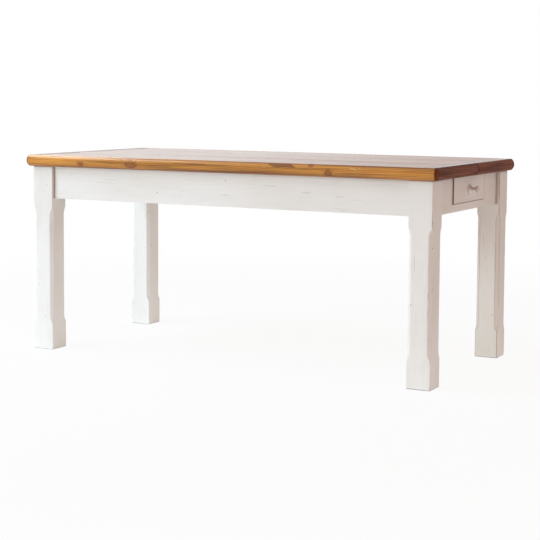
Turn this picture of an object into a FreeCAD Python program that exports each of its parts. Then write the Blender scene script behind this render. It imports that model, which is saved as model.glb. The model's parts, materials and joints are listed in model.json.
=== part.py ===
"""Kitchen table with a plank top, stop-chamfered legs and a drawer in each end.

Sizes are in millimetres. The origin is on the floor under the middle of the top, with
+X along the table to the right, +Y to the back and +Z up.
"""
import FreeCAD
import Part
import math
import os

# Whole table
table_length = 1750.0
table_width = 850.0
table_height = 780.0

# Plank top, with a rounded nosing all round
top_thickness = 45.0
nosing_depth = 12.5
nosing_softening = 4.0
top_corner_lip = 2.0
edge_board_width = 22.0
end_board_width = 60.0
plank_count = 6
board_ease = 1.2
tongue_length = 10.0
tongue_thickness = 12.0

# Legs, with a stopped chamfer on each corner
leg_face_width = 65.0
leg_inset_x = 23.0
leg_inset_y = 25.0
leg_chamfer = 12.5
chamfer_stop_length = 28.0
foot_block_height = 104.0
head_block_height = 166.0
bolt_flat = 14.0

# Long aprons and end rails
apron_height = 128.0
apron_thickness = 25.0
apron_setback = 15.0
lower_rail_height = 28.0

# Cross rails, housed in the aprons
cross_rail_height = 124.0
cross_rail_thickness = 25.0
housing_depth = 6.0

# Corner blocks and the hardware that holds the legs and the blocks
corner_block_thickness = 35.0
corner_block_reveal = 12.0
bolt_diameter = 8.0
bolt_bite = 52.0
bolt_spacing = 56.0
bolt_tail = 5.0
bolt_hole_clearance = 0.5
washer_diameter = 24.0
washer_thickness = 2.0
nut_across_flats = 13.0
nut_thickness = 6.5
block_screw_diameter = 5.0
block_screw_head_diameter = 9.6
block_screw_head_height = 3.4
block_screw_length = 34.0
block_screw_spacing = 64.0

# Wooden buttons that hold the top down to the frame
button_width = 30.0
button_length = 38.0
button_thickness = 22.0
button_relief = 1.0
button_gap = 2.0
button_lip = 12.0
button_tongue_thickness = 9.0
button_tongue_reach = 10.0
button_slot_slack = 1.5
button_screw_diameter = 4.0
button_screw_head_diameter = 8.0
button_screw_head_height = 2.8
button_screw_length = 46.0
apron_button_shares = (-0.39, -0.13, 0.13, 0.39)
cross_rail_button_shares = (-0.26, 0.26)

# Drawers
drawer_margin = 148.0
drawer_front_thickness = 22.0
drawer_front_proud = 4.0
drawer_depth = 400.0
drawer_gap = 3.5
drawer_gap_bottom = 3.0
drawer_gap_top = 2.0
drawer_side_thickness = 14.0
drawer_side_drop = 11.0
drawer_back_thickness = 12.0
drawer_back_inset = 14.0
drawer_back_drop = 8.0
drawer_back_housing = 5.0
drawer_bottom_thickness = 6.0
drawer_bottom_rise = 9.0
drawer_groove_depth = 6.0
tail_count = 2
tail_length = 14.0
tail_root_share = 0.58
tail_slope_share = 0.16

# Drawer knobs and their screws
knob_base_diameter = 35.0
knob_base_band = 2.5
knob_neck_diameter = 15.0
knob_neck_reach = 15.5
knob_head_diameter = 30.0
knob_head_start = 28.5
knob_head_band = 2.5
knob_projection = 38.0
knob_drop = 3.0
knob_mark_diameter = 3.0
knob_mark_depth = 1.2
knob_screw_diameter = 4.0
knob_screw_head_diameter = 8.0
knob_screw_head_height = 2.8
knob_screw_bite = 17.0

# Drawer runners and stops
runner_ledge_width = 18.0
runner_ledge_thickness = 22.0
runner_guide_thickness = 20.0
runner_guide_height = 28.0
runner_side_clearance = 1.0
runner_tenon_length = 10.0
runner_tenon_thickness = 10.0
runner_tenon_shoulder = 4.0
stop_thickness = 13.0
stop_height = 20.0

# Clearances and the overrun of cuts
joint_clearance = 0.1
slide_clearance = 0.3
overrun = 6.0

# Places that follow from the sizes above
top_under = table_height - top_thickness
tongue_level = top_under + top_thickness / 2
top_corner_radius = nosing_depth + top_corner_lip
plank_field_x = table_length / 2 - end_board_width
plank_field_y = table_width / 2 - edge_board_width
plank_width = 2 * plank_field_y / plank_count
leg_section = leg_face_width + 2 * leg_chamfer
leg_centre_x = table_length / 2 - leg_inset_x - leg_section / 2
leg_centre_y = table_width / 2 - leg_inset_y - leg_section / 2
leg_inner_x = leg_centre_x - leg_section / 2
leg_inner_y = leg_centre_y - leg_section / 2
rail_face = leg_centre_x + leg_section / 2 - apron_setback
rail_back = rail_face - apron_thickness
apron_face = leg_centre_y + leg_section / 2 - apron_setback
apron_back = apron_face - apron_thickness
apron_bottom = top_under - apron_height
notch_bottom = apron_bottom + lower_rail_height
drawer_front_width = 2 * (leg_inner_y - drawer_margin)
drawer_half = drawer_front_width / 2
notch_half = drawer_half + drawer_gap
drawer_bottom = notch_bottom + drawer_gap_bottom
drawer_front_top = top_under - drawer_gap_top
drawer_side_height = drawer_front_top - drawer_bottom - drawer_side_drop
drawer_rear = rail_face - drawer_depth
drawer_face = rail_face + drawer_front_proud
front_back_face = drawer_face - drawer_front_thickness
panel_under = drawer_bottom + drawer_bottom_rise
panel_top = panel_under + drawer_bottom_thickness
knob_level = (drawer_bottom + drawer_front_top) / 2 - knob_drop
cross_rail_face = drawer_rear - slide_clearance - stop_thickness
cross_rail_back = cross_rail_face - cross_rail_thickness
cross_rail_middle = cross_rail_face - cross_rail_thickness / 2
ledge_top = drawer_bottom - slide_clearance
ledge_under = ledge_top - runner_ledge_thickness
guide_line = drawer_half + runner_side_clearance
guide_back = guide_line + runner_guide_thickness
ledge_line = guide_line - runner_ledge_width

# Places on a corner block, in the frame of the leg that it stands behind
seat_line = bolt_flat - leg_section
block_face = leg_section / 2 - apron_setback - apron_thickness
block_width = corner_block_thickness * math.sqrt(2)
block_low = apron_bottom + corner_block_reveal
block_high = top_under - corner_block_reveal
block_middle = (block_low + block_high) / 2
bolt_levels = (block_middle - bolt_spacing / 2, block_middle + bolt_spacing / 2)
block_screw_levels = (block_middle - block_screw_spacing / 2, block_middle + block_screw_spacing / 2)
block_screw_line = seat_line - block_face - block_width / 2
block_screw_seat = block_face - block_width / 2 + block_screw_head_diameter / 2 + block_screw_head_height

origin = FreeCAD.Vector(0, 0, 0)
x_axis = FreeCAD.Vector(1, 0, 0)
y_axis = FreeCAD.Vector(0, 1, 0)
z_axis = FreeCAD.Vector(0, 0, 1)
diagonal = FreeCAD.Vector(1, 1, 0).normalize()
across_diagonal = FreeCAD.Vector(1, -1, 0).normalize()

# Sides of the table that each corner, each end and each hand of a drawer lies on
corners = {"back_right": (1, 1), "back_left": (-1, 1), "front_left": (-1, -1), "front_right": (1, -1)}
ends = {"right": 1, "left": -1}
hands = {"left": -1, "right": 1}


def block(x0, x1, y0, y1, z0, z1):
    """A squared block between two corners."""
    return Part.makeBox(x1 - x0, y1 - y0, z1 - z0, FreeCAD.Vector(x0, y0, z0))


def strip(side_y, inner, outer):
    """The lower and upper Y of a strip on one side of the table."""
    return sorted((side_y * inner, side_y * outer))


def prism(points, travel):
    """A closed polygon pushed along a vector."""
    outline = Part.makePolygon(points + points[:1])
    return Part.Face(outline).extrude(travel)


def arc(start, middle, end):
    """An arc through three points."""
    return Part.Arc(start, middle, end).toShape()


def line(start, end):
    """A straight edge."""
    return Part.LineSegment(start, end).toShape()


def turned(edges):
    """A solid of revolution about Z from the edges of its half section."""
    return Part.Face(Part.Wire(edges)).revolve(origin, z_axis, 360)


def aim(shape, base, direction):
    """A copy of a shape made along Z, moved to a point and turned along a direction."""
    moved = shape.copy()
    moved.Placement = FreeCAD.Placement(base, FreeCAD.Rotation(z_axis, direction))
    return moved


def turn(shape, degrees, move=origin):
    """A copy of a shape turned about the vertical through the origin and then moved."""
    moved = shape.copy()
    moved.rotate(origin, z_axis, degrees)
    moved.translate(move)
    return moved


def corner_turn(side_x, side_y):
    """The turn, in degrees, from the back right corner of the table round to another corner."""
    return math.degrees(math.atan2(side_y, side_x) - math.atan2(1, 1))


def at_end(shape, side_x):
    """A copy of a shape of the right end, turned half round for the left end."""
    return turn(shape, math.degrees(math.acos(side_x)))


def cap_middle(radius, rise):
    """A point on a shallow cap, as its radius and its height, halfway round from crown to rim."""
    sphere = (radius ** 2 + rise ** 2) / (2 * rise)
    half_angle = math.asin(radius / sphere) / 2
    return sphere * math.sin(half_angle), rise - sphere * (1 - math.cos(half_angle))


def screw(diameter, head_diameter, head_height, length):
    """A domed screw along +Z, with the seat of its head at zero and a pointed tip."""
    shank = diameter / 2
    rim = head_diameter / 2
    middle_radius, middle_rise = cap_middle(rim, head_height)
    crown = FreeCAD.Vector(0, 0, -head_height)
    dome = arc(crown, FreeCAD.Vector(middle_radius, 0, -middle_rise), FreeCAD.Vector(rim, 0, 0))
    neck = FreeCAD.Vector(shank, 0, 0)
    shoulder = FreeCAD.Vector(shank, 0, length - diameter)
    tip = FreeCAD.Vector(0, 0, length)
    edges = [dome, line(FreeCAD.Vector(rim, 0, 0), neck), line(neck, shoulder)]
    return turned(edges + [line(shoulder, tip), line(tip, crown)])


def screw_hole(diameter, length):
    """The pilot hole of such a screw, from its seat to just past its tip."""
    return Part.makeCylinder(diameter / 2 + joint_clearance, length + joint_clearance)


# The top, cut as boards from one nosed slab
def nosed_slab():
    """The outline of the whole top, with its rounded corners and nosing."""
    low = FreeCAD.Vector(top_corner_lip, 0, top_under)
    bulge = FreeCAD.Vector(top_corner_radius, 0, tongue_level)
    high = FreeCAD.Vector(top_corner_lip, 0, table_height)
    axis_low = z_axis * top_under
    axis_high = z_axis * table_height
    edges = [line(axis_low, low), arc(low, bulge, high), line(high, axis_high), line(axis_high, axis_low)]
    section = Part.Face(Part.Wire(edges))
    run_x = table_length / 2 - top_corner_radius
    run_y = table_width / 2 - top_corner_radius
    pieces = []
    for side_x, side_y in corners.values():
        round_corner = section.revolve(origin, z_axis, 90)
        place = FreeCAD.Vector(side_x * run_x, side_y * run_y, 0)
        pieces.append(turn(round_corner, corner_turn(side_x, side_y), place))
    for degrees, reach, half in ((0, run_x, run_y), (90, run_y, run_x)):
        edge = section.extrude(y_axis * 2 * half)
        edge.translate(FreeCAD.Vector(reach, -half, 0))
        pieces += [turn(edge, degrees), turn(edge, degrees + 180)]
    core = block(-run_x, run_x, -run_y, run_y, top_under, table_height)
    slab = core.multiFuse(pieces).removeSplitter()
    flats = [face for face in slab.Faces if face.BoundBox.ZLength < joint_clearance]
    rims = [edge for face in flats for edge in face.OuterWire.Edges]
    return slab.makeFillet(nosing_softening, rims)


def eased_board(x0, x1, y0, y1):
    """A squared board of the top's thickness, with its upper edges eased."""
    board = block(x0, x1, y0, y1, top_under, table_height)
    upper = [edge for edge in board.Edges if edge.BoundBox.ZMin > tongue_level]
    return board.makeChamfer(board_ease, upper)


def tongue(x0, x1, y0, y1, slack=0):
    """A flat tongue at half the top's thickness, or the groove for it with slack on its cheeks."""
    half = tongue_thickness / 2 + slack
    return block(x0, x1, y0, y1, tongue_level - half, tongue_level + half)


def plank(number):
    """One plank of the field, with a groove to the front and a tongue to the back and at both ends."""
    front = -plank_field_y + number * plank_width
    back = front + plank_width
    groove_end = front + tongue_length + joint_clearance
    board = eased_board(-plank_field_x, plank_field_x, front, back)
    board = board.cut(tongue(-plank_field_x, plank_field_x, front, groove_end, joint_clearance))
    tongue_reach = plank_field_x + tongue_length
    tongues = [tongue(-plank_field_x, plank_field_x, back, back + tongue_length)]
    tongues.append(tongue(plank_field_x, tongue_reach, groove_end, back))
    tongues.append(tongue(-tongue_reach, -plank_field_x, groove_end, back))
    return board.multiFuse(tongues).removeSplitter()


def edge_boards(slab):
    """The full length boards along the front, with a tongue, and along the back, with a groove."""
    outer_x = table_length / 2 + overrun
    outer_y = table_width / 2 + overrun
    front = slab.common(eased_board(-outer_x, outer_x, -outer_y, -plank_field_y))
    tongue_end = -plank_field_y + tongue_length
    front = front.fuse(tongue(-plank_field_x, plank_field_x, -plank_field_y, tongue_end)).removeSplitter()
    back = slab.common(eased_board(-outer_x, outer_x, plank_field_y, outer_y))
    groove_end = plank_field_y + tongue_length + joint_clearance
    back = back.cut(tongue(-plank_field_x, plank_field_x, plank_field_y, groove_end, joint_clearance))
    return front, back


def end_board(slab, side_y):
    """Half of the board across the right end, grooved for the tongues of the planks."""
    y0, y1 = strip(side_y, 0, plank_field_y)
    board = slab.common(eased_board(plank_field_x, table_length / 2 + overrun, y0, y1))
    groove_end = plank_field_x + tongue_length + joint_clearance
    return board.cut(tongue(plank_field_x, groove_end, y0, y1, joint_clearance))


# Legs
def chamfer_cutter():
    """What a stopped chamfer takes off the outer corner of a leg that stands at the origin.

    The cut is flat between its stops, and each stop is a round scoop that runs out at the corner.
    """
    depth = leg_chamfer / math.sqrt(2)
    radius = (chamfer_stop_length ** 2 + depth ** 2) / (2 * depth)
    sweep = math.acos(1 - (depth + overrun) / radius)
    low = foot_block_height + chamfer_stop_length
    high = top_under - head_block_height - chamfer_stop_length
    corner = FreeCAD.Vector(leg_section / 2, leg_section / 2, 0) - across_diagonal * leg_chamfer

    def scoop(level, way, share):
        """A point of a stop, as a share of the way round it from the flat of the chamfer."""
        out = radius * (1 - math.cos(sweep * share)) - depth
        return corner + diagonal * out + z_axis * (level + way * radius * math.sin(sweep * share))

    low_flat = scoop(low, -1, 0)
    low_end = scoop(low, -1, 1)
    high_flat = scoop(high, 1, 0)
    high_end = scoop(high, 1, 1)
    low_stop = arc(low_end, scoop(low, -1, 0.5), low_flat)
    high_stop = arc(high_flat, scoop(high, 1, 0.5), high_end)
    edges = [low_stop, line(low_flat, high_flat), high_stop, line(high_end, low_end)]
    return Part.Face(Part.Wire(edges)).extrude(across_diagonal * 2 * leg_chamfer)


def leg():
    """A leg at the origin, with its inner corner towards -X and -Y and flattened for the bolts."""
    half = leg_section / 2
    body = block(-half, half, -half, half, 0, top_under)
    cutter = chamfer_cutter()
    cuts = [turn(cutter, corner_turn(*sides)) for sides in corners.values()]
    flat = [
        FreeCAD.Vector(-half - overrun, -half - overrun, apron_bottom),
        FreeCAD.Vector(bolt_flat - half + overrun, -half - overrun, apron_bottom),
        FreeCAD.Vector(-half - overrun, bolt_flat - half + overrun, apron_bottom),
    ]
    cuts.append(prism(flat, z_axis * (apron_height + overrun)))
    return body.cut(cuts + bolt_holes(bolt_diameter / 2 + joint_clearance, bolt_bite + joint_clearance))


# The corner block behind each leg, in the frame of the leg
def on_bolt(level, along):
    """A point on the line of a leg bolt, measured into the leg from the seat of the corner block."""
    return FreeCAD.Vector(seat_line / 2, seat_line / 2, level) + diagonal * along


def bolt_holes(radius, depth, start=0):
    """Round holes on the lines of the leg bolts."""
    length = depth - start
    return [Part.makeCylinder(radius, length, on_bolt(level, start), diagonal) for level in bolt_levels]


def block_screw_places():
    """Seat and direction of each screw that holds a corner block to its end rail and apron."""
    places = []
    for level in block_screw_levels:
        places.append((FreeCAD.Vector(block_screw_seat, block_screw_line, level), x_axis))
        places.append((FreeCAD.Vector(block_screw_line, block_screw_seat, level), y_axis))
    return places


def block_screw_holes():
    """Pilot holes of the corner block screws."""
    hole = screw_hole(block_screw_diameter, block_screw_length)
    return [aim(hole, seat, way) for seat, way in block_screw_places()]


def block_screws():
    """The screws of one corner block."""
    head = (block_screw_head_diameter, block_screw_head_height)
    body = screw(block_screw_diameter, *head, block_screw_length)
    return [aim(body, seat, way) for seat, way in block_screw_places()]


def corner_block():
    """A block across the corner, with holes for the leg bolts and pockets for its own screws."""
    near = seat_line - block_face
    outline = [
        FreeCAD.Vector(block_face, near, block_low),
        FreeCAD.Vector(near, block_face, block_low),
        FreeCAD.Vector(near - block_width, block_face, block_low),
        FreeCAD.Vector(block_face, near - block_width, block_low),
    ]
    body = prism(outline, z_axis * (block_high - block_low))
    pocket = Part.makeCylinder(block_screw_head_diameter / 2 + joint_clearance, block_width)
    pockets = [aim(pocket, seat - way * block_width, way) for seat, way in block_screw_places()]
    bolts = bolt_holes(bolt_diameter / 2 + bolt_hole_clearance, overrun, -corner_block_thickness - overrun)
    return body.cut(pockets + block_screw_holes() + bolts)


def leg_bolts():
    """The hanger bolts of one leg."""
    back = corner_block_thickness + washer_thickness + nut_thickness + bolt_tail
    return bolt_holes(bolt_diameter / 2, bolt_bite, -back)


def ring(outline_face, thickness, along):
    """Washers or nuts: an outline with the bolt's hole, pushed along each bolt of a leg."""
    body = outline_face.extrude(z_axis * thickness)
    body = body.cut(Part.makeCylinder(bolt_diameter / 2 + joint_clearance, thickness))
    return [aim(body, on_bolt(level, along), diagonal) for level in bolt_levels]


def washers():
    """The washers of one leg, against the corner block."""
    outline = Part.Face(Part.Wire(Part.makeCircle(washer_diameter / 2)))
    return ring(outline, washer_thickness, -corner_block_thickness - washer_thickness)


def nuts():
    """The hex nuts of one leg, against the washers."""
    radius = nut_across_flats / math.sqrt(3)
    points = []
    for corner in range(6):
        angle = math.radians(60 * corner)
        points.append(FreeCAD.Vector(radius * math.cos(angle), radius * math.sin(angle), 0))
    outline = Part.Face(Part.makePolygon(points + points[:1]))
    return ring(outline, nut_thickness, -corner_block_thickness - washer_thickness - nut_thickness)


def at_corner(shape, name):
    """A copy of a shape in the frame of a leg, moved to one corner of the table."""
    side_x, side_y = corners[name]
    place = FreeCAD.Vector(side_x * leg_centre_x, side_y * leg_centre_y, 0)
    return turn(shape, corner_turn(side_x, side_y), place)


def at_all_corners(shapes):
    """Copies of shapes at the four corners, as one group."""
    return Part.makeCompound([at_corner(shape, name) for name in corners for shape in shapes])


# Buttons that hold the top, each made with its tongue towards +Y and the top's underside at zero
def button():
    """A wooden button with its tongue and screw hole."""
    back = -button_gap - button_length
    under = -button_relief - button_thickness
    section = [
        (back, -button_relief),
        (-button_gap, -button_relief),
        (-button_gap, -button_lip),
        (button_tongue_reach, -button_lip),
        (button_tongue_reach, -button_lip - button_tongue_thickness),
        (-button_gap, -button_lip - button_tongue_thickness),
        (-button_gap, under),
        (back, under),
    ]
    outline = [FreeCAD.Vector(-button_width / 2, y, z) for y, z in section]
    return prism(outline, x_axis * button_width).cut(button_screw_hole())


def button_slot():
    """The slot for the tongue of a button in the board that it hooks into."""
    half = button_width / 2 + button_slot_slack
    deep = button_tongue_reach + button_slot_slack
    low = -button_lip - button_tongue_thickness - button_slot_slack
    return block(-half, half, 0, deep, low, -button_lip)


def button_screw_seat():
    """Where the head of a button's screw bears."""
    return FreeCAD.Vector(0, -button_gap - button_length / 2, -button_relief - button_thickness)


def button_screw():
    """The screw of a button."""
    head = (button_screw_head_diameter, button_screw_head_height)
    return aim(screw(button_screw_diameter, *head, button_screw_length), button_screw_seat(), z_axis)


def button_screw_hole():
    """The pilot hole of a button's screw."""
    return aim(screw_hole(button_screw_diameter, button_screw_length), button_screw_seat(), z_axis)


def at_buttons(shape):
    """Copies of a shape at the buttons of the two aprons and of the two outer cross rails."""
    copies = []
    for share in apron_button_shares:
        along = share * 2 * leg_inner_x
        copies.append(turn(shape, 0, FreeCAD.Vector(along, apron_back, top_under)))
        copies.append(turn(shape, 180, FreeCAD.Vector(along, -apron_back, top_under)))
    for share in cross_rail_button_shares:
        along = share * 2 * apron_back
        copies.append(turn(shape, 270, FreeCAD.Vector(cross_rail_back, along, top_under)))
        copies.append(turn(shape, 90, FreeCAD.Vector(-cross_rail_back, along, top_under)))
    return copies


# Aprons and rails
def cross_rail(x0, x1):
    """A board across the table, with its ends housed in the two aprons."""
    half = apron_back + housing_depth
    return block(x0, x1, -half, half, top_under - cross_rail_height, top_under)


def apron(side_y):
    """A long apron between two legs, with housings, button slots and pilot holes."""
    y0, y1 = strip(side_y, apron_back, apron_face)
    board = block(-leg_inner_x, leg_inner_x, y0, y1, apron_bottom, top_under)
    reach = apron_back + housing_depth + joint_clearance
    half = cross_rail_thickness / 2 + joint_clearance
    low = top_under - cross_rail_height - joint_clearance
    cuts = at_buttons(button_slot())
    for middle in (-cross_rail_middle, 0, cross_rail_middle):
        cuts.append(block(middle - half, middle + half, -reach, reach, low, top_under))
    for name in corners:
        cuts += [at_corner(hole, name) for hole in block_screw_holes()]
    return board.cut(cuts)


def end_rail():
    """The right end rail: one board notched from above for the drawer, with mortises for the runners."""
    section = [
        (-leg_inner_y, apron_bottom),
        (leg_inner_y, apron_bottom),
        (leg_inner_y, top_under),
        (notch_half, top_under),
        (notch_half, notch_bottom),
        (-notch_half, notch_bottom),
        (-notch_half, top_under),
        (-leg_inner_y, top_under),
    ]
    board = prism([FreeCAD.Vector(rail_back, y, z) for y, z in section], x_axis * apron_thickness)
    cuts = [runner_tenons(side, joint_clearance) for side in (-1, 1)]
    for name in ("front_right", "back_right"):
        cuts += [at_corner(hole, name) for hole in block_screw_holes()]
    return board.cut(cuts)


# Runners and stops of the right drawer, on the side of its slide that side_y names
def runner_tenons(side_y, slack=0):
    """The stub tenons of a runner in the end rail and the cross rail, or their mortises with slack."""
    inner = ledge_line + runner_tenon_shoulder - slack
    outer = guide_back - runner_tenon_shoulder + slack
    y0, y1 = strip(side_y, inner, outer)
    low = ledge_under + runner_tenon_shoulder - slack
    high = ledge_under + runner_tenon_shoulder + runner_tenon_thickness + slack
    reach = runner_tenon_length + slack
    return block(cross_rail_face - reach, rail_back + reach, y0, y1, low, high)


def runner(side_y):
    """An L-shaped runner that carries and guides one side of the right drawer."""
    section = [
        (ledge_line, ledge_under),
        (guide_back, ledge_under),
        (guide_back, ledge_top + runner_guide_height),
        (guide_line, ledge_top + runner_guide_height),
        (guide_line, ledge_top),
        (ledge_line, ledge_top),
    ]
    outline = [FreeCAD.Vector(cross_rail_face, side_y * y, z) for y, z in section]
    body = prism(outline, x_axis * (rail_back - cross_rail_face))
    return body.fuse(runner_tenons(side_y)).removeSplitter()


def drawer_stop(side_y):
    """A block on the ledge of a runner that one side of the closed drawer meets."""
    y0, y1 = strip(side_y, ledge_line, guide_line)
    front = cross_rail_face + stop_thickness
    return block(cross_rail_face, front, y0, y1, ledge_top, ledge_top + stop_height)


# The right drawer
def tails(side_y, slack=0):
    """The dovetails of a drawer side, or their sockets in the drawer front with slack."""
    y0, y1 = strip(side_y, drawer_half - drawer_side_thickness - slack, drawer_half)
    pitch = drawer_side_height / tail_count
    root = pitch * tail_root_share / 2 + slack
    end = root + tail_length * tail_slope_share
    x1 = front_back_face + tail_length + slack
    shapes = []
    for number in range(tail_count):
        level = drawer_bottom + (number + 0.5) * pitch
        section = [
            (front_back_face, level - root),
            (x1, level - end),
            (x1, level + end),
            (front_back_face, level + root),
        ]
        shapes.append(prism([FreeCAD.Vector(x, y0, z) for x, z in section], y_axis * (y1 - y0)))
    return shapes


def drawer_panel(rear, slack=0):
    """The bottom of the drawer, or with slack the grooves that hold it, from a rear end forwards."""
    half = drawer_half - drawer_side_thickness + drawer_groove_depth + slack
    reach = front_back_face + drawer_groove_depth + slack
    return block(rear, reach, -half, half, panel_under - slack, panel_top + slack)


def drawer_back(slack=0):
    """The back of the drawer, or with slack the housings for it in the sides."""
    x0 = drawer_rear + drawer_back_inset - slack
    x1 = drawer_rear + drawer_back_inset + drawer_back_thickness + slack
    half = drawer_half - drawer_side_thickness + drawer_back_housing + slack
    low = panel_top + joint_clearance - slack
    high = drawer_bottom + drawer_side_height - drawer_back_drop + slack
    return block(x0, x1, -half, half, low, high)


def drawer_side(side_y):
    """A drawer side with dovetails at its front, a groove for the bottom and a housing for the back."""
    y0, y1 = strip(side_y, drawer_half - drawer_side_thickness, drawer_half)
    body = block(drawer_rear, front_back_face, y0, y1, drawer_bottom, drawer_bottom + drawer_side_height)
    body = body.multiFuse(tails(side_y)).removeSplitter()
    return body.cut([drawer_panel(drawer_rear, joint_clearance), drawer_back(joint_clearance)])


def drawer_front():
    """The drawer front, with lapped sockets for the dovetails and a groove for the bottom."""
    body = block(front_back_face, drawer_face, -drawer_half, drawer_half, drawer_bottom, drawer_front_top)
    groove = drawer_panel(front_back_face, joint_clearance)
    hole = aim(screw_hole(knob_screw_diameter, drawer_front_thickness), knob_screw_seat(), x_axis)
    return body.cut(tails(-1, joint_clearance) + tails(1, joint_clearance) + [groove, hole])


def knob_screw_seat():
    """Where the head of the knob screw bears, inside the drawer."""
    return FreeCAD.Vector(front_back_face, 0, knob_level)


def knob_screw():
    """The screw that holds the knob from inside the drawer."""
    head = (knob_screw_head_diameter, knob_screw_head_height)
    body = screw(knob_screw_diameter, *head, drawer_front_thickness + knob_screw_bite)
    return aim(body, knob_screw_seat(), x_axis)


def knob():
    """A turned knob with a wide foot, a drawn-in neck and a domed head with the mark of the lathe."""
    foot = knob_base_diameter / 2
    head = knob_head_diameter / 2
    rim = knob_head_start + knob_head_band
    middle_radius, middle_rise = cap_middle(head, knob_projection - rim)
    foot_low = FreeCAD.Vector(foot, 0, 0)
    foot_high = FreeCAD.Vector(foot, 0, knob_base_band)
    neck = FreeCAD.Vector(knob_neck_diameter / 2, 0, knob_neck_reach)
    head_low = FreeCAD.Vector(head, 0, knob_head_start)
    head_high = FreeCAD.Vector(head, 0, rim)
    crown = FreeCAD.Vector(0, 0, knob_projection)
    dome = arc(head_high, FreeCAD.Vector(middle_radius, 0, rim + middle_rise), crown)
    edges = [line(origin, foot_low), line(foot_low, foot_high), arc(foot_high, neck, head_low)]
    body = turned(edges + [line(head_low, head_high), dome, line(crown, origin)])
    mark_tip = z_axis * (knob_projection - knob_mark_depth)
    mark = Part.makeCone(0, knob_mark_diameter / 2, knob_mark_depth, mark_tip)
    return aim(body.cut([mark, screw_hole(knob_screw_diameter, knob_screw_bite)]), front_middle(), x_axis)


def front_middle():
    """Where the knob stands on the face of the drawer front."""
    return FreeCAD.Vector(drawer_face, 0, knob_level)


nodes = {}

# Boards of the top
slab = nosed_slab()
button_pilots = at_buttons(button_screw_hole())
for number in range(plank_count):
    nodes[f"top_plank_{number + 1}"] = plank(number).cut(button_pilots)
nodes["top_front_edge"], nodes["top_back_edge"] = edge_boards(slab)
right_end_front = end_board(slab, -1)
right_end_back = end_board(slab, 1)
nodes["top_right_end_front"] = right_end_front
nodes["top_right_end_back"] = right_end_back
nodes["top_left_end_front"] = at_end(right_end_back, ends["left"])
nodes["top_left_end_back"] = at_end(right_end_front, ends["left"])

# Legs with their corner blocks and hardware
one_leg = leg()
one_block = corner_block()
for corner_name in corners:
    nodes[f"{corner_name}_leg"] = at_corner(one_leg, corner_name)
    nodes[f"{corner_name}_corner_block"] = at_corner(one_block, corner_name)
nodes["leg_bolts"] = at_all_corners(leg_bolts())
nodes["leg_bolt_washers"] = at_all_corners(washers())
nodes["leg_bolt_nuts"] = at_all_corners(nuts())
nodes["corner_block_screws"] = at_all_corners(block_screws())

# Aprons, rails and the buttons that hold the top
nodes["front_apron"] = apron(-1)
nodes["back_apron"] = apron(1)
nodes["right_end_rail"] = end_rail()
nodes["left_end_rail"] = at_end(nodes["right_end_rail"], ends["left"])
right_cross_rail = cross_rail(cross_rail_back, cross_rail_face).cut(at_buttons(button_slot()))
right_cross_rail = right_cross_rail.cut([runner_tenons(side, joint_clearance) for side in (-1, 1)])
nodes["right_cross_rail"] = right_cross_rail
nodes["left_cross_rail"] = at_end(right_cross_rail, ends["left"])
nodes["middle_cross_rail"] = cross_rail(-cross_rail_thickness / 2, cross_rail_thickness / 2)
nodes["top_buttons"] = Part.makeCompound(at_buttons(button()))
nodes["top_button_screws"] = Part.makeCompound(at_buttons(button_screw()))

# Drawers with their runners and stops; the left end is the right end turned half round
for end, side_x in ends.items():
    for hand, side_y in hands.items():
        nodes[f"{end}_drawer_{hand}_runner"] = at_end(runner(side_y), side_x)
        nodes[f"{end}_drawer_{hand}_side"] = at_end(drawer_side(side_y), side_x)
    nodes[f"{end}_drawer_front"] = at_end(drawer_front(), side_x)
    nodes[f"{end}_drawer_back"] = at_end(drawer_back(), side_x)
    nodes[f"{end}_drawer_bottom"] = at_end(drawer_panel(drawer_rear + drawer_back_inset), side_x)
    nodes[f"{end}_drawer_knob"] = at_end(knob(), side_x)
    nodes[f"{end}_drawer_knob_screw"] = at_end(knob_screw(), side_x)
stops = [at_end(drawer_stop(side_y), side_x) for side_x in ends.values() for side_y in hands.values()]
nodes["drawer_stops"] = Part.makeCompound(stops)

os.makedirs("parts", exist_ok=True)
for name, shape in nodes.items():
    shape.exportStep(f"parts/{name}.step")
print(len(nodes), "nodes")
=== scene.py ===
"""Looks of a painted kitchen table with a stained plank top and a drawer in each end.

Lengths are in metres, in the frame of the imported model: +X along the table to the right,
+Y to the back and +Z up.
"""
import json
import logging
import math
from dataclasses import dataclass, field
from enum import Enum, IntEnum
from typing import Any, Callable, Optional, Sequence, Union

import bmesh
import bpy
import numpy as np
from mathutils import Matrix, Vector, noise

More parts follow.
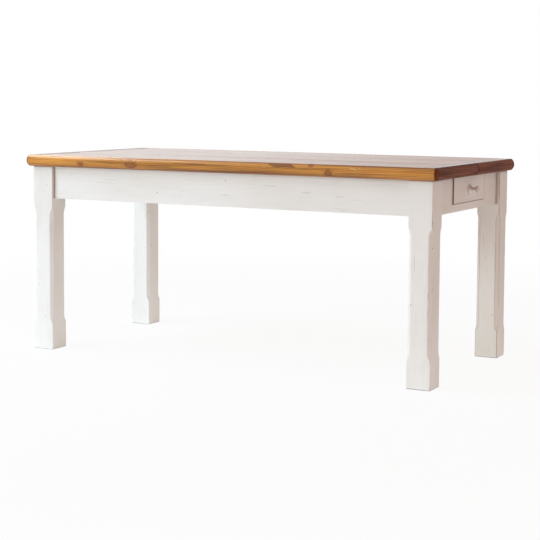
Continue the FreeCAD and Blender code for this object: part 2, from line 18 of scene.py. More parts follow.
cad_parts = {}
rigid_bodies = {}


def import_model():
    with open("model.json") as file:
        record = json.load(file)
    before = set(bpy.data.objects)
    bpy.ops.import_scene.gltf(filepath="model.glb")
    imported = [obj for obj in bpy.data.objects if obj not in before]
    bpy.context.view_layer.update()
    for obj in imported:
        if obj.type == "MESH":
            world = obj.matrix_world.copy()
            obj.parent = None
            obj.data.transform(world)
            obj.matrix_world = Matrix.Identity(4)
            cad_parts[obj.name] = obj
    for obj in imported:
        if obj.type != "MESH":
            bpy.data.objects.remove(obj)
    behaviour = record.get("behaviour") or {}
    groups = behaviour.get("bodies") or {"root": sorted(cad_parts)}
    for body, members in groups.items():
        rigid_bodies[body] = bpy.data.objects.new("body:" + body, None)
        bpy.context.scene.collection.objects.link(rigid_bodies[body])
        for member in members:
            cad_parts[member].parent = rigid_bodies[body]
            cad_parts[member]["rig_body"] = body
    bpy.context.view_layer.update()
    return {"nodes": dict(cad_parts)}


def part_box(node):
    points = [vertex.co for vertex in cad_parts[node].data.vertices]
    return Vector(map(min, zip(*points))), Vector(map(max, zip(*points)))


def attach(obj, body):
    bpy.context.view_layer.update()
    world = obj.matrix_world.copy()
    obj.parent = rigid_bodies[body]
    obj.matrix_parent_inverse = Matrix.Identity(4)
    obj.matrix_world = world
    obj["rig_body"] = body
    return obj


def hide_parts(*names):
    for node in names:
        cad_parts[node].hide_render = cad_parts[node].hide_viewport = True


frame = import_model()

log = logging.getLogger("table")

Array = np.ndarray
Piece = bpy.types.Object
Mesh = bpy.types.Mesh
Shape = bmesh.types.BMesh
Colour = tuple[float, float, float]
Spot = tuple[float, float, float]
Pair = tuple[float, float]
Term = Union["Channel", float, int]
Layer = tuple["Channel", float, Colour]
Links = Optional[dict[Union[str, int], Any]]

# Attributes that the meshes carry
GRAIN = "grain"
ARRIS = "arris"
TONE = "tone"
END_GRAIN = "end_grain"
UPWARD = "upward"
# Share of painted shade, with dirt, in hollows and corners
HOLLOW = "hollow"
AIM = "aim"

FULL_TURN = 2 * math.pi
ROOT_TWO = math.sqrt(2)
WELD = 1e-6
FLAT_ANGLE = math.radians(0.2)
SAWN_ANGLE = math.radians(35)
SMOOTH_ANGLE = math.radians(40)
SQUARE_ANGLE = math.radians(50)


class Seed(IntEnum):
    """The first seed of each group of boards."""

    EDGES = 11
    ENDS = 21
    PLANKS = 31
    LEGS = 41
    BLOCKS = 51
    FRAME = 61
    RIGHT_DRAWER = 71
    LEFT_DRAWER = 81
    STOPS = 91


# Node trees
def operator(operation: str, swapped: bool = False) -> Callable[["Channel", Term], "Channel"]:
    """A method that adds a Math node on a channel and another value.

    Args:
        operation: The Math node's operation.
        swapped: True if the other value comes first.

    Returns:
        The method.
    """
    def apply(self: "Channel", other: Term) -> "Channel":
        """The result of the operation."""
        return self.bench.math(operation, *((other, self) if swapped else (self, other)))

    return apply


class Channel:
    """An output socket of a node tree, with Python's operators as Math nodes."""

    __add__ = __radd__ = operator("ADD")
    __mul__ = __rmul__ = operator("MULTIPLY")
    __sub__ = operator("SUBTRACT")
    __rsub__ = operator("SUBTRACT", swapped=True)
    __truediv__ = operator("DIVIDE")
    __pow__ = operator("POWER")
    __gt__ = operator("GREATER_THAN")
    most = operator("MAXIMUM")
    least = operator("MINIMUM")

    def __init__(self, bench: "NodeBench", socket: bpy.types.NodeSocket) -> None:
        """Keeps the bench that the socket's node stands on, and the socket."""
        self.bench = bench
        self.socket = socket

    def math(self, operation: str, *others: Term) -> "Channel":
        """Adds a Math node that starts from this value."""
        return self.bench.math(operation, self, *others)

    def __abs__(self) -> "Channel":
        """This value without its sign."""
        return self.math("ABSOLUTE")

    def root(self) -> "Channel":
        """The square root of this value."""
        return self.math("SQRT")

    def clamp(self) -> "Channel":
        """This value, held between 0 and 1."""
        return self.most(0.0).least(1.0)

    def sway(self, factor: float) -> "Channel":
        """How far this value is above a half, times a factor."""
        return (self - 0.5) * factor

    def smooth(self, low: Term, high: Term) -> "Channel":
        """Eases from 0 at one value to 1 at another, which may be the smaller."""
        links = {"Value": self, "From Min": low, "From Max": high}
        return self.bench.add("ShaderNodeMapRange", links, interpolation_type="SMOOTHSTEP")

    def vector_math(self, operation: str, other: Any = None, output: str = "Vector") -> "Channel":
        """Adds a Vector Math node that starts from this vector."""
        links = {0: self} if other is None else {0: self, 1: other}
        return self.bench.add("ShaderNodeVectorMath", links, output, operation=operation)

    def stretch(self, factors: Spot) -> "Channel":
        """This vector times one factor for each axis."""
        return self.vector_math("MULTIPLY", factors)

    def shift(self, move: Union["Channel", Spot]) -> "Channel":
        """This vector plus another."""
        return self.vector_math("ADD", move)

    def length(self) -> "Channel":
        """The length of this vector."""
        return self.vector_math("LENGTH", output="Value")

    def parts(self) -> tuple["Channel", "Channel", "Channel"]:
        """The three parts of this vector."""
        first = self.bench.add("ShaderNodeSeparateXYZ", {"Vector": self})
        outputs = first.socket.node.outputs
        return first, Channel(self.bench, outputs["Y"]), Channel(self.bench, outputs["Z"])


class NodeBench:
    """A node tree that is being built."""

    def __init__(self, tree: bpy.types.NodeTree) -> None:
        """Keeps the tree."""
        self.tree = tree

    def add(
        self, kind: str, inputs: Links = None, output: Union[str, int] = 0, **settings: Any,
    ) -> Channel:
        """Adds any node.

        Args:
            kind: The node's type.
            inputs: A value or a link for each socket, by its name or number.
            output: The output that is wanted, by its name or number.
            settings: Its properties, which are set first.

        Returns:
            That output.
        """
        node = self.tree.nodes.new(kind)
        for key, value in settings.items():
            setattr(node, key, value)
        for key, value in (inputs or {}).items():
            self.feed(self.socket(node.inputs, key), value)
        return Channel(self, self.socket(node.outputs, output))

    def socket(self, sockets: Any, key: Union[str, int]) -> bpy.types.NodeSocket:
        """The socket in use with a name, or the one with a number."""
        if isinstance(key, int):
            return sockets[key]
        return next(socket for socket in sockets if socket.name == key and socket.enabled)

    def feed(self, socket: bpy.types.NodeSocket, value: Any) -> None:
        """Links a channel to an input socket, or sets the socket's value."""
        if isinstance(value, Channel):
            self.tree.links.new(value.socket, socket)
        elif socket.type == "RGBA":
            socket.default_value = (*value, 1.0)
        else:
            socket.default_value = value

    def close(self, kind: str, shader: Channel) -> None:
        """Adds the output node of a shader tree."""
        self.tree.links.new(shader.socket, self.tree.nodes.new(kind).inputs["Surface"])

    def math(self, operation: str, *terms: Term) -> Channel:
        """Adds a Math node on up to three values."""
        return self.add("ShaderNodeMath", dict(enumerate(terms)), operation=operation)

    def vector(self, x: Term, y: Term, z: Term) -> Channel:
        """A vector from its three parts."""
        return self.add("ShaderNodeCombineXYZ", {"X": x, "Y": y, "Z": z})

    def attribute(self, name: str, output: str = "Fac") -> Channel:
        """A number or a vector that the piece's mesh carries."""
        return self.add("ShaderNodeAttribute", None, output, attribute_name=name)

    def place(self) -> Channel:
        """The place of a point in the frame."""
        return self.add("ShaderNodeTexCoord", None, "Object")

    def noise(
        self, place: Channel, along: float = 1.0, across: float = 1.0,
        detail: float = 2.0, roughness: float = 0.5,
    ) -> Channel:
        """Smooth noise from 0 to 1.

        Args:
            place: Where it is wanted, along the grain and across it.
            along: Lumps in each unit along the grain.
            across: Lumps in each unit across the grain.
            detail: How many finer layers it has.
            roughness: Strength of each finer layer.

        Returns:
            The noise.
        """
        spot = place.stretch((along, across, across))
        links = {"Vector": spot, "Scale": 1.0, "Detail": detail, "Roughness": roughness}
        return self.add("ShaderNodeTexNoise", links)

    def cells(self, place: Channel, along: float, across: float) -> tuple[Channel, Channel]:
        """Scattered points, so many in each unit along the grain and across it.

        Args:
            place: The place, along the grain and across it.
            along: Points in each unit along the grain.
            across: Points in each unit across the grain.

        Returns:
            The distance to the nearest point, and a number from 0 to 1 drawn for that point.
        """
        links = {"Vector": place.stretch((along, across, across)), "Scale": 1.0}
        near = self.add("ShaderNodeTexVoronoi", links)
        drawn = Channel(self, near.socket.node.outputs["Color"])
        return near, drawn.parts()[0]

    def layers(self, base: Any, layers: Sequence[Layer]) -> Channel:
        """A colour with others laid over it in turn, each by its share and its strength."""
        for share, strength, colour in layers:
            if strength:
                links = {"Factor": share * strength, "A": base, "B": colour}
                base = self.add("ShaderNodeMix", links, "Result", data_type="RGBA")
        return base

    def shade(self, colour: Any, amount: Channel) -> Channel:
        """A colour made lighter or darker by a number."""
        links = {"Factor": 1.0, "A": colour, "B": amount}
        return self.add("ShaderNodeMix", links, "Result", data_type="RGBA", blend_type="MULTIPLY")


def from_srgb(red: int, green: int, blue: int) -> Colour:
    """A colour as a screen shows it, turned into the light that it stands for."""
    levels = (level / 255 for level in (red, green, blue))
    return tuple(v / 12.92 if v <= 0.04045 else ((v + 0.055) / 1.055) ** 2.4 for v in levels)


# Finishes
@dataclass(frozen=True)
class Mark:
    """A knot, a stain or a chip at a place on a front, with its reach along and up."""

    x: float
    z: float
    long: float
    high: float


@dataclass(frozen=True)
class Finish:
    """What every finish has: a name and the slot of the record that it stands for."""

    name: str
    slot: str

    def material(self) -> bpy.types.Material:
        """The finish as a material, which is made once."""
        made = bpy.data.materials.get(self.name)
        if made is None:
            made = bpy.data.materials.new(self.name)
            made.use_nodes = True
            bench = NodeBench(made.node_tree)
            surface = made.node_tree.nodes["Principled BSDF"]
            for name, value in self.draw(bench).items():
                bench.feed(surface.inputs[name], value)
        return made

    def draw(self, bench: NodeBench) -> dict[str, Any]:
        """What the sockets of the surface shader get."""
        raise NotImplementedError

    def relief(
        self, bench: NodeBench, height: Channel, strength: float, depth: float = 0.0005,
    ) -> Channel:
        """A bumped normal from a height of 0 to 1 and its depth in metres."""
        links = {"Height": height, "Distance": depth, "Strength": strength}
        return bench.add("ShaderNodeBump", links)


@dataclass(frozen=True)
class Figure:
    """The figure of sawn pine at a point of a board.

    Attributes:
        late: Share of dark late wood in the year rings.
        fibre: Fine lines along the grain.
        streak: Broad lines along the grain.
        cloud: Slow patches.
        core: Share of knot wood.
        halo: Share of the darker wood round a knot.
    """

    late: Channel
    fibre: Channel
    streak: Channel
    cloud: Channel
    core: Channel
    halo: Channel


def pine_figure(
    bench: NodeBench, grain: Channel, ring: float, knot_share: float, knots: Sequence[Mark] = (),
) -> Figure:
    """Works out the figure of pine from a place in the trunk.

    Args:
        bench: The tree that gets the nodes.
        grain: The place, along the trunk and across it, from its pith.
        ring: Width of a year ring.
        knot_share: Share of the possible knots that the board has.
        knots: Knots that are listed.

    Returns:
        The figure.
    """
    _, wide, deep = grain.parts()
    bend = bench.noise(grain, 1.5, 6.0)
    wander = bench.noise(grain, 5.0, 55.0)
    near, drawn = bench.cells(grain, 3.0, 8.0)
    has_knot = 1 - (drawn > knot_share)
    core = near.smooth(0.12, 0.07) * has_knot
    halo = near.smooth(0.36, 0.05) * has_knot
    fibre = bench.noise(grain, 20.0, 800.0, 3.0, 0.6)
    place = bench.place()
    ragged = wander.sway(1.8) + fibre.sway(0.6)
    for knot in knots:
        scale = (1 / knot.long, 0.0, 1 / knot.high)
        offset = place.shift((-knot.x, 0.0, -knot.z)).stretch(scale).length() + ragged
        rim = offset.smooth(0.9, 0.6) * offset.smooth(0.2, 0.5) * fibre.smooth(0.3, 0.55)
        core = core.most(rim).most(offset.smooth(0.75, 0.5) * 0.45)
        halo = halo.most(offset.smooth(1.6, 0.3))
    radius = (wide * wide + deep * deep).root()
    rings = (radius + bend.sway(0.05) + halo * 0.014) / ring + wander.sway(0.5)
    wave = (rings * FULL_TURN).math("SINE") * 0.5 + 0.5
    return Figure(
        late=(wave ** 1.6).smooth(0.25, 1.0),
        fibre=fibre,
        streak=bench.noise(grain, 2.2, 90.0, 3.0),
        cloud=bench.noise(grain, 2.6, 9.0, 3.0),
        core=core,
        halo=halo,
    )


@dataclass(frozen=True)
class PineFinish(Finish):
    """Pine, stained and varnished or left raw."""

    early: Colour
    late: Colour
    dark: Colour
    pale: Colour = (0.0, 0.0, 0.0)
    ring: float = 0.0055
    knot_share: float = 0.4
    contrast: float = 0.75
    mottle: float = 0.5
    streaks: float = 0.4
    sheen: float = 0.4
    gloss: float = 0.5
    varnish: float = 0.0
    side_polish: float = 1.0
    joint_width: float = 0.0014
    texture: float = 0.3
    thirst: float = 0.5
    end_turn: Pair = (0.45, 0.95)
    end_light: float = 0.0
    chalk: float = 0.0
    dull_end: float = 0.0
    knots: tuple[Mark, ...] = ()
    stains: tuple[Mark, ...] = ()
    chips: tuple[Mark, ...] = ()
    glue_line: float = 0.0
    rims: Pair = (0.0, 0.0)

    def draw(self, bench: NodeBench) -> dict[str, Any]:
        """What the sockets of the surface shader get."""
        grain = bench.attribute(GRAIN, "Vector")
        end_way = bench.attribute(END_GRAIN)
        end_grain = end_way.smooth(*self.end_turn)
        joint = bench.attribute(ARRIS).smooth(self.joint_width, 0.0)
        figure = pine_figure(bench, grain, self.ring, self.knot_share, self.knots)
        wood = bench.layers(self.early, [
            (figure.late, self.contrast, self.late),
            (figure.streak.smooth(0.45, 0.7), self.streaks, self.dark),
            (end_grain, self.thirst, self.dark),
            (end_way.smooth(0.9, 0.99), self.end_light, self.late),
            (figure.halo, 0.4, self.late),
            (figure.core, 0.85, self.dark),
        ])
        tone = 0.68 + bench.attribute(TONE) * 0.36
        level = tone + figure.cloud.sway(self.mottle) + figure.fibre.sway(0.3)
        wood = bench.layers(bench.shade(wood, level), [
            (figure.fibre.smooth(0.52, 0.72), self.chalk, self.pale),
            (joint, 0.85, self.dark),
            *self.marked(bench, figure),
        ])
        upward = bench.attribute(UPWARD).smooth(0.87, 0.985)
        polish = upward * (1 - self.side_polish) + self.side_polish
        rough = self.sheen + figure.late * 0.08 + figure.streak.sway(0.3) + end_grain * 0.45
        if self.dull_end:
            x = bench.place().parts()[0]
            dull = (x + figure.cloud.sway(0.5)).smooth(-0.3, 0.8) * self.dull_end
            polish = polish * (1 - dull)
            rough = rough + dull * 0.3
        height = figure.late * 0.4 + figure.fibre * 0.3 + figure.streak * 0.5
        return {
            "Base Color": wood,
            "Roughness": rough,
            "Specular IOR Level": self.gloss,
            "Coat Weight": (1 - end_grain) * polish * self.varnish if self.varnish else 0.0,
            "Coat Roughness": 0.16,
            "Normal": self.relief(bench, height, self.texture),
        }

    def marked(self, bench: NodeBench, figure: Figure) -> list[Layer]:
        """The glue line, the darker upper rim, the painted shade along the lower rim, the stains
        and the chips of a board that has them.
        """
        layers = []
        if self.glue_line:
            layers.append((self.joint(bench, figure), 0.7, self.dark))
            # Darker upper rim, and painted shade along the lower rim of the nosing.
            layers.append((self.darker_rims(bench, figure), 0.78, self.dark))
        layers += [(self.patch(bench, figure, stain), 0.95, self.dark) for stain in self.stains]
        layers += [(self.patch(bench, figure, chip), 0.5, self.pale) for chip in self.chips]
        return layers

    def patch(self, bench: NodeBench, figure: Figure, mark: Mark) -> Channel:
        """A stain or a chip with ragged, slanted ends."""
        x, _, z = bench.place().parts()
        level = z - mark.z
        along = abs(x - mark.x + level * 2.2) / mark.long + figure.streak.sway(0.7)
        up = abs(level) / mark.high + figure.fibre.sway(0.8)
        worn = figure.fibre.smooth(0.3, 0.6) * 0.55 + 0.45
        return along.smooth(1.1, 0.86) * up.smooth(1.05, 0.86) * worn

    def darker_rims(self, bench: NodeBench, figure: Figure) -> Channel:
        """Darker along the upper rim of the nosing, and painted shade along its lower rim."""
        level = bench.place().parts()[2]
        low, high = self.rims
        # Painted shade along the lower rim of the nosing.
        lower = level.smooth(low + 0.017, low + 0.003)
        # A darker line along the upper rim.
        upper = level.smooth(high - 0.009, high - 0.002)
        upper = upper * level.smooth(high - 0.0001, high - 0.0006)
        return lower.most(upper) * figure.streak.smooth(0.2, 0.6)

    def joint(self, bench: NodeBench, figure: Figure) -> Channel:
        """The line where the two layers of an edge board are glued together."""
        level = bench.place().parts()[2] + figure.cloud.sway(0.002)
        return abs(level - self.glue_line).smooth(0.0011, 0.0003) * figure.streak.smooth(0.3, 0.55)


@dataclass(frozen=True)
class PaintFinish(Finish):
    """White paint on pine, brushed along the grain and rubbed through at the arrises."""

    paint: Colour
    shade_paint: Colour
    bare: Colour
    # Colour of rubbed paint, and also of the painted shade.
    worn: Colour
    # Colour of bare end grain; dark on the rails, it also stands for the shade in the gaps beside
    # the drawers.
    bare_end_and_gap_shade: Colour
    wear_width: float = 0.0032
    bare_ends: float = 0.9
    # Strength of the painted shade, with dirt, in the hollows and corners that the mesh marks.
    hollow_shade_and_grime: float = 0.0
    # Painted shade beside the legs (seam), a painted shadow beside the drawer opening (mouth) and
    # painted shade round the knob (ring).
    seam: float = 0.0
    seam_axis: int = 0
    mouth: float = 0.0
    mouth_levels: Pair = (0.63, 0.642)
    ring: Pair = (0.0, 0.0)
    marks: tuple[Mark, ...] = ()
    chipped: float = 0.05

    def draw(self, bench: NodeBench) -> dict[str, Any]:
        """What the sockets of the surface shader get."""
        grain = bench.attribute(GRAIN, "Vector")
        figure = pine_figure(bench, grain, 0.006, 0.25)
        brush = bench.noise(grain, 6.0, 300.0, 3.0, 0.6)
        scratch = self.scratches(bench, grain)
        fleck = self.flecks(bench, grain)
        rub = self.rubbed(bench, grain)
        end_grain = bench.attribute(END_GRAIN).smooth(0.75, 0.98)
        clouds = [(figure.cloud.smooth(0.35, 0.75), 1.0, self.shade_paint)]
        level = 1.0 - figure.late * 0.015 + brush.sway(0.035)
        colour = bench.layers(bench.shade(bench.layers(self.paint, clouds), level), [
            (scratch, 0.5, self.bare),
            (fleck, 0.7, self.worn),
            (rub, 0.7, self.worn),
            # Bare end grain, which on the rails is also painted shade in the drawer gaps.
            (end_grain, self.bare_ends, self.bare_end_and_gap_shade),
            # Painted shade and dirt.
            *self.shade_and_grime(bench),
            *self.dings(bench, figure),
        ])
        height = brush * 0.5 + figure.late * 0.25 - scratch * 0.6 - rub * 0.8 - fleck * 0.6
        return {
            "Base Color": colour,
            "Roughness": 0.52 + brush.sway(0.2) + rub * 0.15,
            "Specular IOR Level": 0.4,
            "Normal": self.relief(bench, height, 0.4),
        }

    def shade_and_grime(self, bench: NodeBench) -> list[Layer]:
        """Painted shade, with dirt, in hollows and at the joints with the legs, a painted shadow
        beside the drawer and painted shade round the knob.
        """
        axes = bench.place().parts()
        _, across, level = axes
        # Painted shade, with dirt, where the mesh marks hollows and corners.
        layers = [(bench.attribute(HOLLOW), self.hollow_shade_and_grime, self.worn)]
        # A dark line at the joint with the leg, and painted shade in the corner beside it.
        if self.seam:
            gap = self.seam - abs(axes[self.seam_axis])
            layers.append((gap.smooth(0.006, 0.001), 0.65, self.worn))
        # Painted shadow of the drawer front on the rail beside the opening.
        if self.mouth:
            gap = (abs(across) - self.mouth).smooth(0.02, 0.002)
            layers.append((gap * level.smooth(*self.mouth_levels), 0.4, self.worn))
        # Painted shade round the foot of the knob.
        radius, middle = self.ring
        if radius:
            height = level - middle
            gap = (across * across + height * height).root() - radius
            layers.append((gap.smooth(0.0055, 0.0), 0.4, self.worn))
        return layers

    def dings(self, bench: NodeBench, figure: Figure) -> list[Layer]:
        """The marks in the paint that are listed."""
        x, _, z = bench.place().parts()
        layers = []
        for mark in self.marks:
            along = (x - mark.x) / mark.long
            up = (z - mark.z + figure.streak.sway(0.004)) / mark.high
            layers.append(((along * along + up * up).smooth(1.2, 0.6), 0.75, self.bare))
        return layers

    def scratches(self, bench: NodeBench, grain: Channel) -> Channel:
        """Short open lines in the paint along the grain, in loose groups."""
        line = bench.noise(grain, 9.0, 760.0, 1.0)
        group = bench.noise(grain, 7.0, 45.0)
        return line.smooth(0.67, 0.73) * group.smooth(0.54, 0.64)

    def flecks(self, bench: NodeBench, grain: Channel) -> Channel:
        """Small chips in the paint, drawn out along the grain."""
        near, drawn = bench.cells(grain, 40.0, 60.0)
        return near.smooth(0.13, 0.06) * (drawn > 1 - self.chipped)

    def rubbed(self, bench: NodeBench, grain: Channel) -> Channel:
        """Where the arrises are rubbed through to the wood, in ragged stretches.

        Args:
            bench: The material's tree.
            grain: The place in the trunk.

        Returns:
            Share of the wood that shows.
        """
        edge = bench.attribute(ARRIS).smooth(self.wear_width, 0.0)
        wear = bench.attribute(TONE)
        stretch = bench.noise(grain, 6.0, 14.0)
        ragged = bench.noise(grain, 24.0, 170.0, 3.0, 0.6)
        through = edge * 0.5 + stretch * 0.9 + ragged * 0.5 + wear * 0.3 - 1.46
        patches = through.smooth(0.0, 0.09) * edge.smooth(0.02, 0.3)
        broken = (stretch + ragged * 0.4).smooth(0.48, 0.66)
        line = edge.smooth(0.6, 0.9) * wear.smooth(0.5, 0.7) * broken * 0.8
        return patches.most(line)


@dataclass(frozen=True)
class SteelFinish(Finish):
    """Zinc plated steel with a dull, cloudy sheen."""

    metal: Colour
    tarnish: Colour

    def draw(self, bench: NodeBench) -> dict[str, Any]:
        """What the sockets of the surface shader get."""
        place = bench.place()
        cloud = bench.noise(place, 160.0, 160.0, 3.0)
        grit = bench.noise(place, 1500.0, 1500.0)
        return {
            "Base Color": bench.layers(self.metal, [(cloud.smooth(0.4, 0.7), 1.0, self.tarnish)]),
            "Metallic": 1.0,
            "Roughness": 0.32 + cloud * 0.2,
            "Normal": self.relief(bench, grit, 0.3, 0.0001),
        }


FRONT_KNOTS = (
    Mark(-0.609, 0.752, 0.019, 0.012),
    Mark(-0.374, 0.753, 0.036, 0.016),
    Mark(0.392, 0.773, 0.016, 0.009),
    Mark(0.463, 0.748, 0.020, 0.013),
)
FRONT_STAINS = (
    Mark(0.276, 0.771, 0.046, 0.0066),
    Mark(-0.115, 0.7665, 0.07, 0.0011),
    Mark(-0.73, 0.776, 0.03, 0.002),
)
FRONT_CHIPS = (
    Mark(0.551, 0.769, 0.003, 0.004),
    Mark(0.566, 0.7665, 0.003, 0.0045),
    Mark(0.584, 0.7695, 0.003, 0.0035),
    Mark(0.203, 0.767, 0.0025, 0.0025),
)
APRON_MARKS = (
    Mark(-0.278, 0.65, 0.003, 0.0022),
    Mark(0.022, 0.705, 0.003, 0.002),
    Mark(0.02, 0.652, 0.026, 0.0006),
    Mark(0.21, 0.693, 0.03, 0.0006),
    Mark(0.357, 0.673, 0.022, 0.0007),
    Mark(0.493, 0.664, 0.02, 0.0007),
    Mark(-0.495, 0.69, 0.034, 0.0005),
)
HONEY = dict(
    slot="honey_stain",
    early=from_srgb(216, 152, 64),
    late=from_srgb(172, 104, 34),
    dark=from_srgb(104, 52, 22),
    pale=from_srgb(238, 206, 150),
    contrast=0.9,
    mottle=1.0,
    streaks=0.7,
    thirst=0.92,
    end_turn=(0.2, 0.42),
    end_light=0.3,
    sheen=0.34,
    gloss=0.2,
    varnish=0.45,
    glue_line=0.763,
    rims=(0.735, 0.78),
)
PAINT = dict(
    slot="white_paint",
    paint=from_srgb(240, 239, 236),
    shade_paint=from_srgb(233, 231, 226),
    bare=from_srgb(160, 138, 122),
    # Rubbed paint, also the colour of the painted shade.
    worn=from_srgb(150, 98, 72),
    # Dark bare end grain, also painted shade in the drawer gaps.
    bare_end_and_gap_shade=from_srgb(84, 52, 36),
)
DRAWER_ENDS = PAINT | {"bare_end_and_gap_shade": from_srgb(160, 116, 88)}
# The knob's darker colour for its worn paint and its painted shade.
KNOB_WORN_AND_SHADE = PAINT | {"worn": from_srgb(150, 108, 88)}
# Where the aprons and the rails meet the legs: a dark line and painted shade in the corner.
APRON_SEAM = 0.762
RAIL_SEAM = 0.31
LEG_PAINT = PaintFinish("leg_white_paint", hollow_shade_and_grime=0.5, chipped=0.14, **PAINT)
APRON_PAINT = PaintFinish("apron_white_paint", seam=APRON_SEAM, **PAINT)
FRONT_PAINT = PaintFinish("front_white_paint", seam=APRON_SEAM, marks=APRON_MARKS, **PAINT)
RAIL_PAINT = PaintFinish("rail_white_paint", seam=RAIL_SEAM, seam_axis=1, mouth=0.1655, **PAINT)
# The ring is painted shade round the knob's foot.
DRAWER_PAINT = PaintFinish("drawer_white_paint", ring=(0.0175, 0.6825), **DRAWER_ENDS)
KNOB_PAINT = PaintFinish("handled_white_paint", bare_ends=0.0, hollow_shade_and_grime=0.7, **KNOB_WORN_AND_SHADE)
HONEY_FRONT = PineFinish(
    "front_honey_pine",
    knots=FRONT_KNOTS,
    stains=FRONT_STAINS,
    chips=FRONT_CHIPS,
    knot_share=0.0,
    **HONEY,
)
HONEY_BACK = PineFinish("back_honey_pine", **HONEY)
BROWN_STAIN = PineFinish(
    "brown_pine", "brown_stain",
    early=from_srgb(174, 120, 86),
    late=from_srgb(128, 80, 54),
    dark=from_srgb(80, 46, 34),
    sheen=0.27,
    varnish=0.62,
    texture=0.12,
    dull_end=0.42,
)
DARK_STAIN = PineFinish(
    "dark_pine", "dark_stain",
    early=from_srgb(140, 82, 60),
    late=from_srgb(98, 52, 38),
    dark=from_srgb(58, 28, 20),
    pale=from_srgb(150, 112, 98),
    chalk=0.4,
    mottle=0.85,
    knot_share=0.1,
    streaks=0.7,
    sheen=0.55,
    gloss=0.06,
    varnish=0.73,
    side_polish=0.0,
    joint_width=0.007,
)
RAW_PINE = PineFinish(
    "sawn_pine", "raw_pine",
    early=from_srgb(226, 196, 152),
    late=from_srgb(196, 150, 98),
    dark=from_srgb(138, 92, 58),
    contrast=0.55,
    streaks=0.2,
    sheen=0.62,
    gloss=0.3,
)
ZINC_STEEL = SteelFinish(
    "plated_steel", "zinc_steel", metal=(0.62, 0.63, 0.65), tarnish=(0.5, 0.5, 0.51),
)


# Boards
class GrainWay(Enum):
    """How the grain of a board lies: the order of its long, wide and thick axes."""

    LENGTHWISE_UPRIGHT = (0, 2, 1)
    LENGTHWISE_FLAT = (0, 1, 2)
    CROSSWISE_UPRIGHT = (1, 2, 0)
    CROSSWISE_FLAT = (1, 0, 2)
    STANDING = (2, 0, 1)


def points_of(mesh: Mesh) -> Array:
    """The vertices of a mesh, one in each row."""
    flat = np.empty(len(mesh.vertices) * 3, np.float32)
    mesh.vertices.foreach_get("co", flat)
    return flat.reshape(-1, 3).astype(float)


def carry(mesh: Mesh, name: str, values: Array) -> None:
    """Stores a number or a vector for each vertex of a mesh.

    Args:
        mesh: The mesh.
        name: Name of the attribute.
        values: The values, one row for each vertex.
    """
    old = mesh.attributes.get(name)
    if old is not None:
        mesh.attributes.remove(old)
    kind, key = ("FLOAT", "value") if values.ndim == 1 else ("FLOAT_VECTOR", "vector")
    layer = mesh.attributes.new(name, kind, "POINT")
    layer.data.foreach_set(key, np.ascontiguousarray(values, np.float32).ravel())


def lay_grain(mesh: Mesh, way: GrainWay, seed: int, tone: float) -> None:
    """Gives a board its own place in a trunk, and its own tone.

    Args:
        mesh: The board's mesh.
        way: How its grain lies.
        seed: Seed of its place in the trunk.
        tone: From 0, dark or little worn, to 1, light or much worn.
    """
    drawn = np.random.default_rng(seed)
    points = points_of(mesh)
    place = (points - (points.min(0) + points.max(0)) / 2)[:, way.value]
    half = np.ptp(place, axis=0) / 2
    place[:, 0] += drawn.uniform(5.0, 40.0)
    place[:, 1] += drawn.uniform(-0.6, 0.6) * half[1]
    place[:, 2] += drawn.choice((-1, 1)) * (half[2] + drawn.uniform(0.015, 0.06))
    normals = np.empty(len(points) * 3, np.float32)
    mesh.vertex_normals.foreach_get("vector", normals)
    normals = normals.reshape(-1, 3)
    carry(mesh, GRAIN, place)
    carry(mesh, END_GRAIN, np.abs(normals[:, way.value[0]]))
    carry(mesh, UPWARD, normals[:, 2].clip(0.0, 1.0))
    carry(mesh, TONE, np.full(len(points), tone))


def from_segments(points: Array, starts: Array, ends: Array) -> Array:
    """The distance of each point from the nearest of some straight lines, by their ends."""
    nearest = np.full(len(points), np.inf)
    for start, end in zip(starts, ends):
        run = end - start
        share = np.clip((points - start) @ run / (run @ run), 0.0, 1.0)
        gaps = np.linalg.norm(points - start - share[:, None] * run, axis=1)
        nearest = np.minimum(nearest, gaps)
    return nearest


def saw(shape: Shape, point: Vector, way: Vector, clear: bool = False) -> None:
    """Cuts a shape along a plane.

    Args:
        shape: The shape.
        point: A point of the plane.
        way: The plane's normal.
        clear: True if the waste on that side goes and the cut is closed.
    """
    every = shape.verts[:] + shape.edges[:] + shape.faces[:]
    bmesh.ops.bisect_plane(shape, geom=every, plane_co=point, plane_no=way, clear_outer=clear)
    if clear:
        bmesh.ops.holes_fill(shape, edges=[edge for edge in shape.edges if edge.is_boundary])


def settle(piece: Piece) -> None:
    """Turns a piece with its modifiers into a plain mesh."""
    graph = bpy.context.evaluated_depsgraph_get()
    shaped = piece.evaluated_get(graph)
    mesh = bpy.data.meshes.new_from_object(shaped, preserve_all_data_layers=True, depsgraph=graph)
    piece.modifiers.clear()
    piece.data = mesh


def new_piece(name: str, mesh: Mesh) -> Piece:
    """An object for a mesh, in the scene."""
    piece = bpy.data.objects.new(name, mesh)
    bpy.context.scene.collection.objects.link(piece)
    return piece


def to_piece(shape: Shape, name: str, sharp: float) -> Piece:
    """A piece from a shape, which is used up, smooth but for edges over an angle."""
    for face in shape.faces:
        face.smooth = True
    mesh = bpy.data.meshes.new(name)
    shape.to_mesh(mesh)
    shape.free()
    mesh.set_sharp_from_angle(angle=sharp)
    return new_piece(name, mesh)


def flatten(piece: Piece) -> bpy.types.Modifier:
    """Keeps the flats of a piece flat in its shading."""
    flats = piece.modifiers.new("flats", "WEIGHTED_NORMAL")
    flats.mode = "FACE_AREA"
    return flats


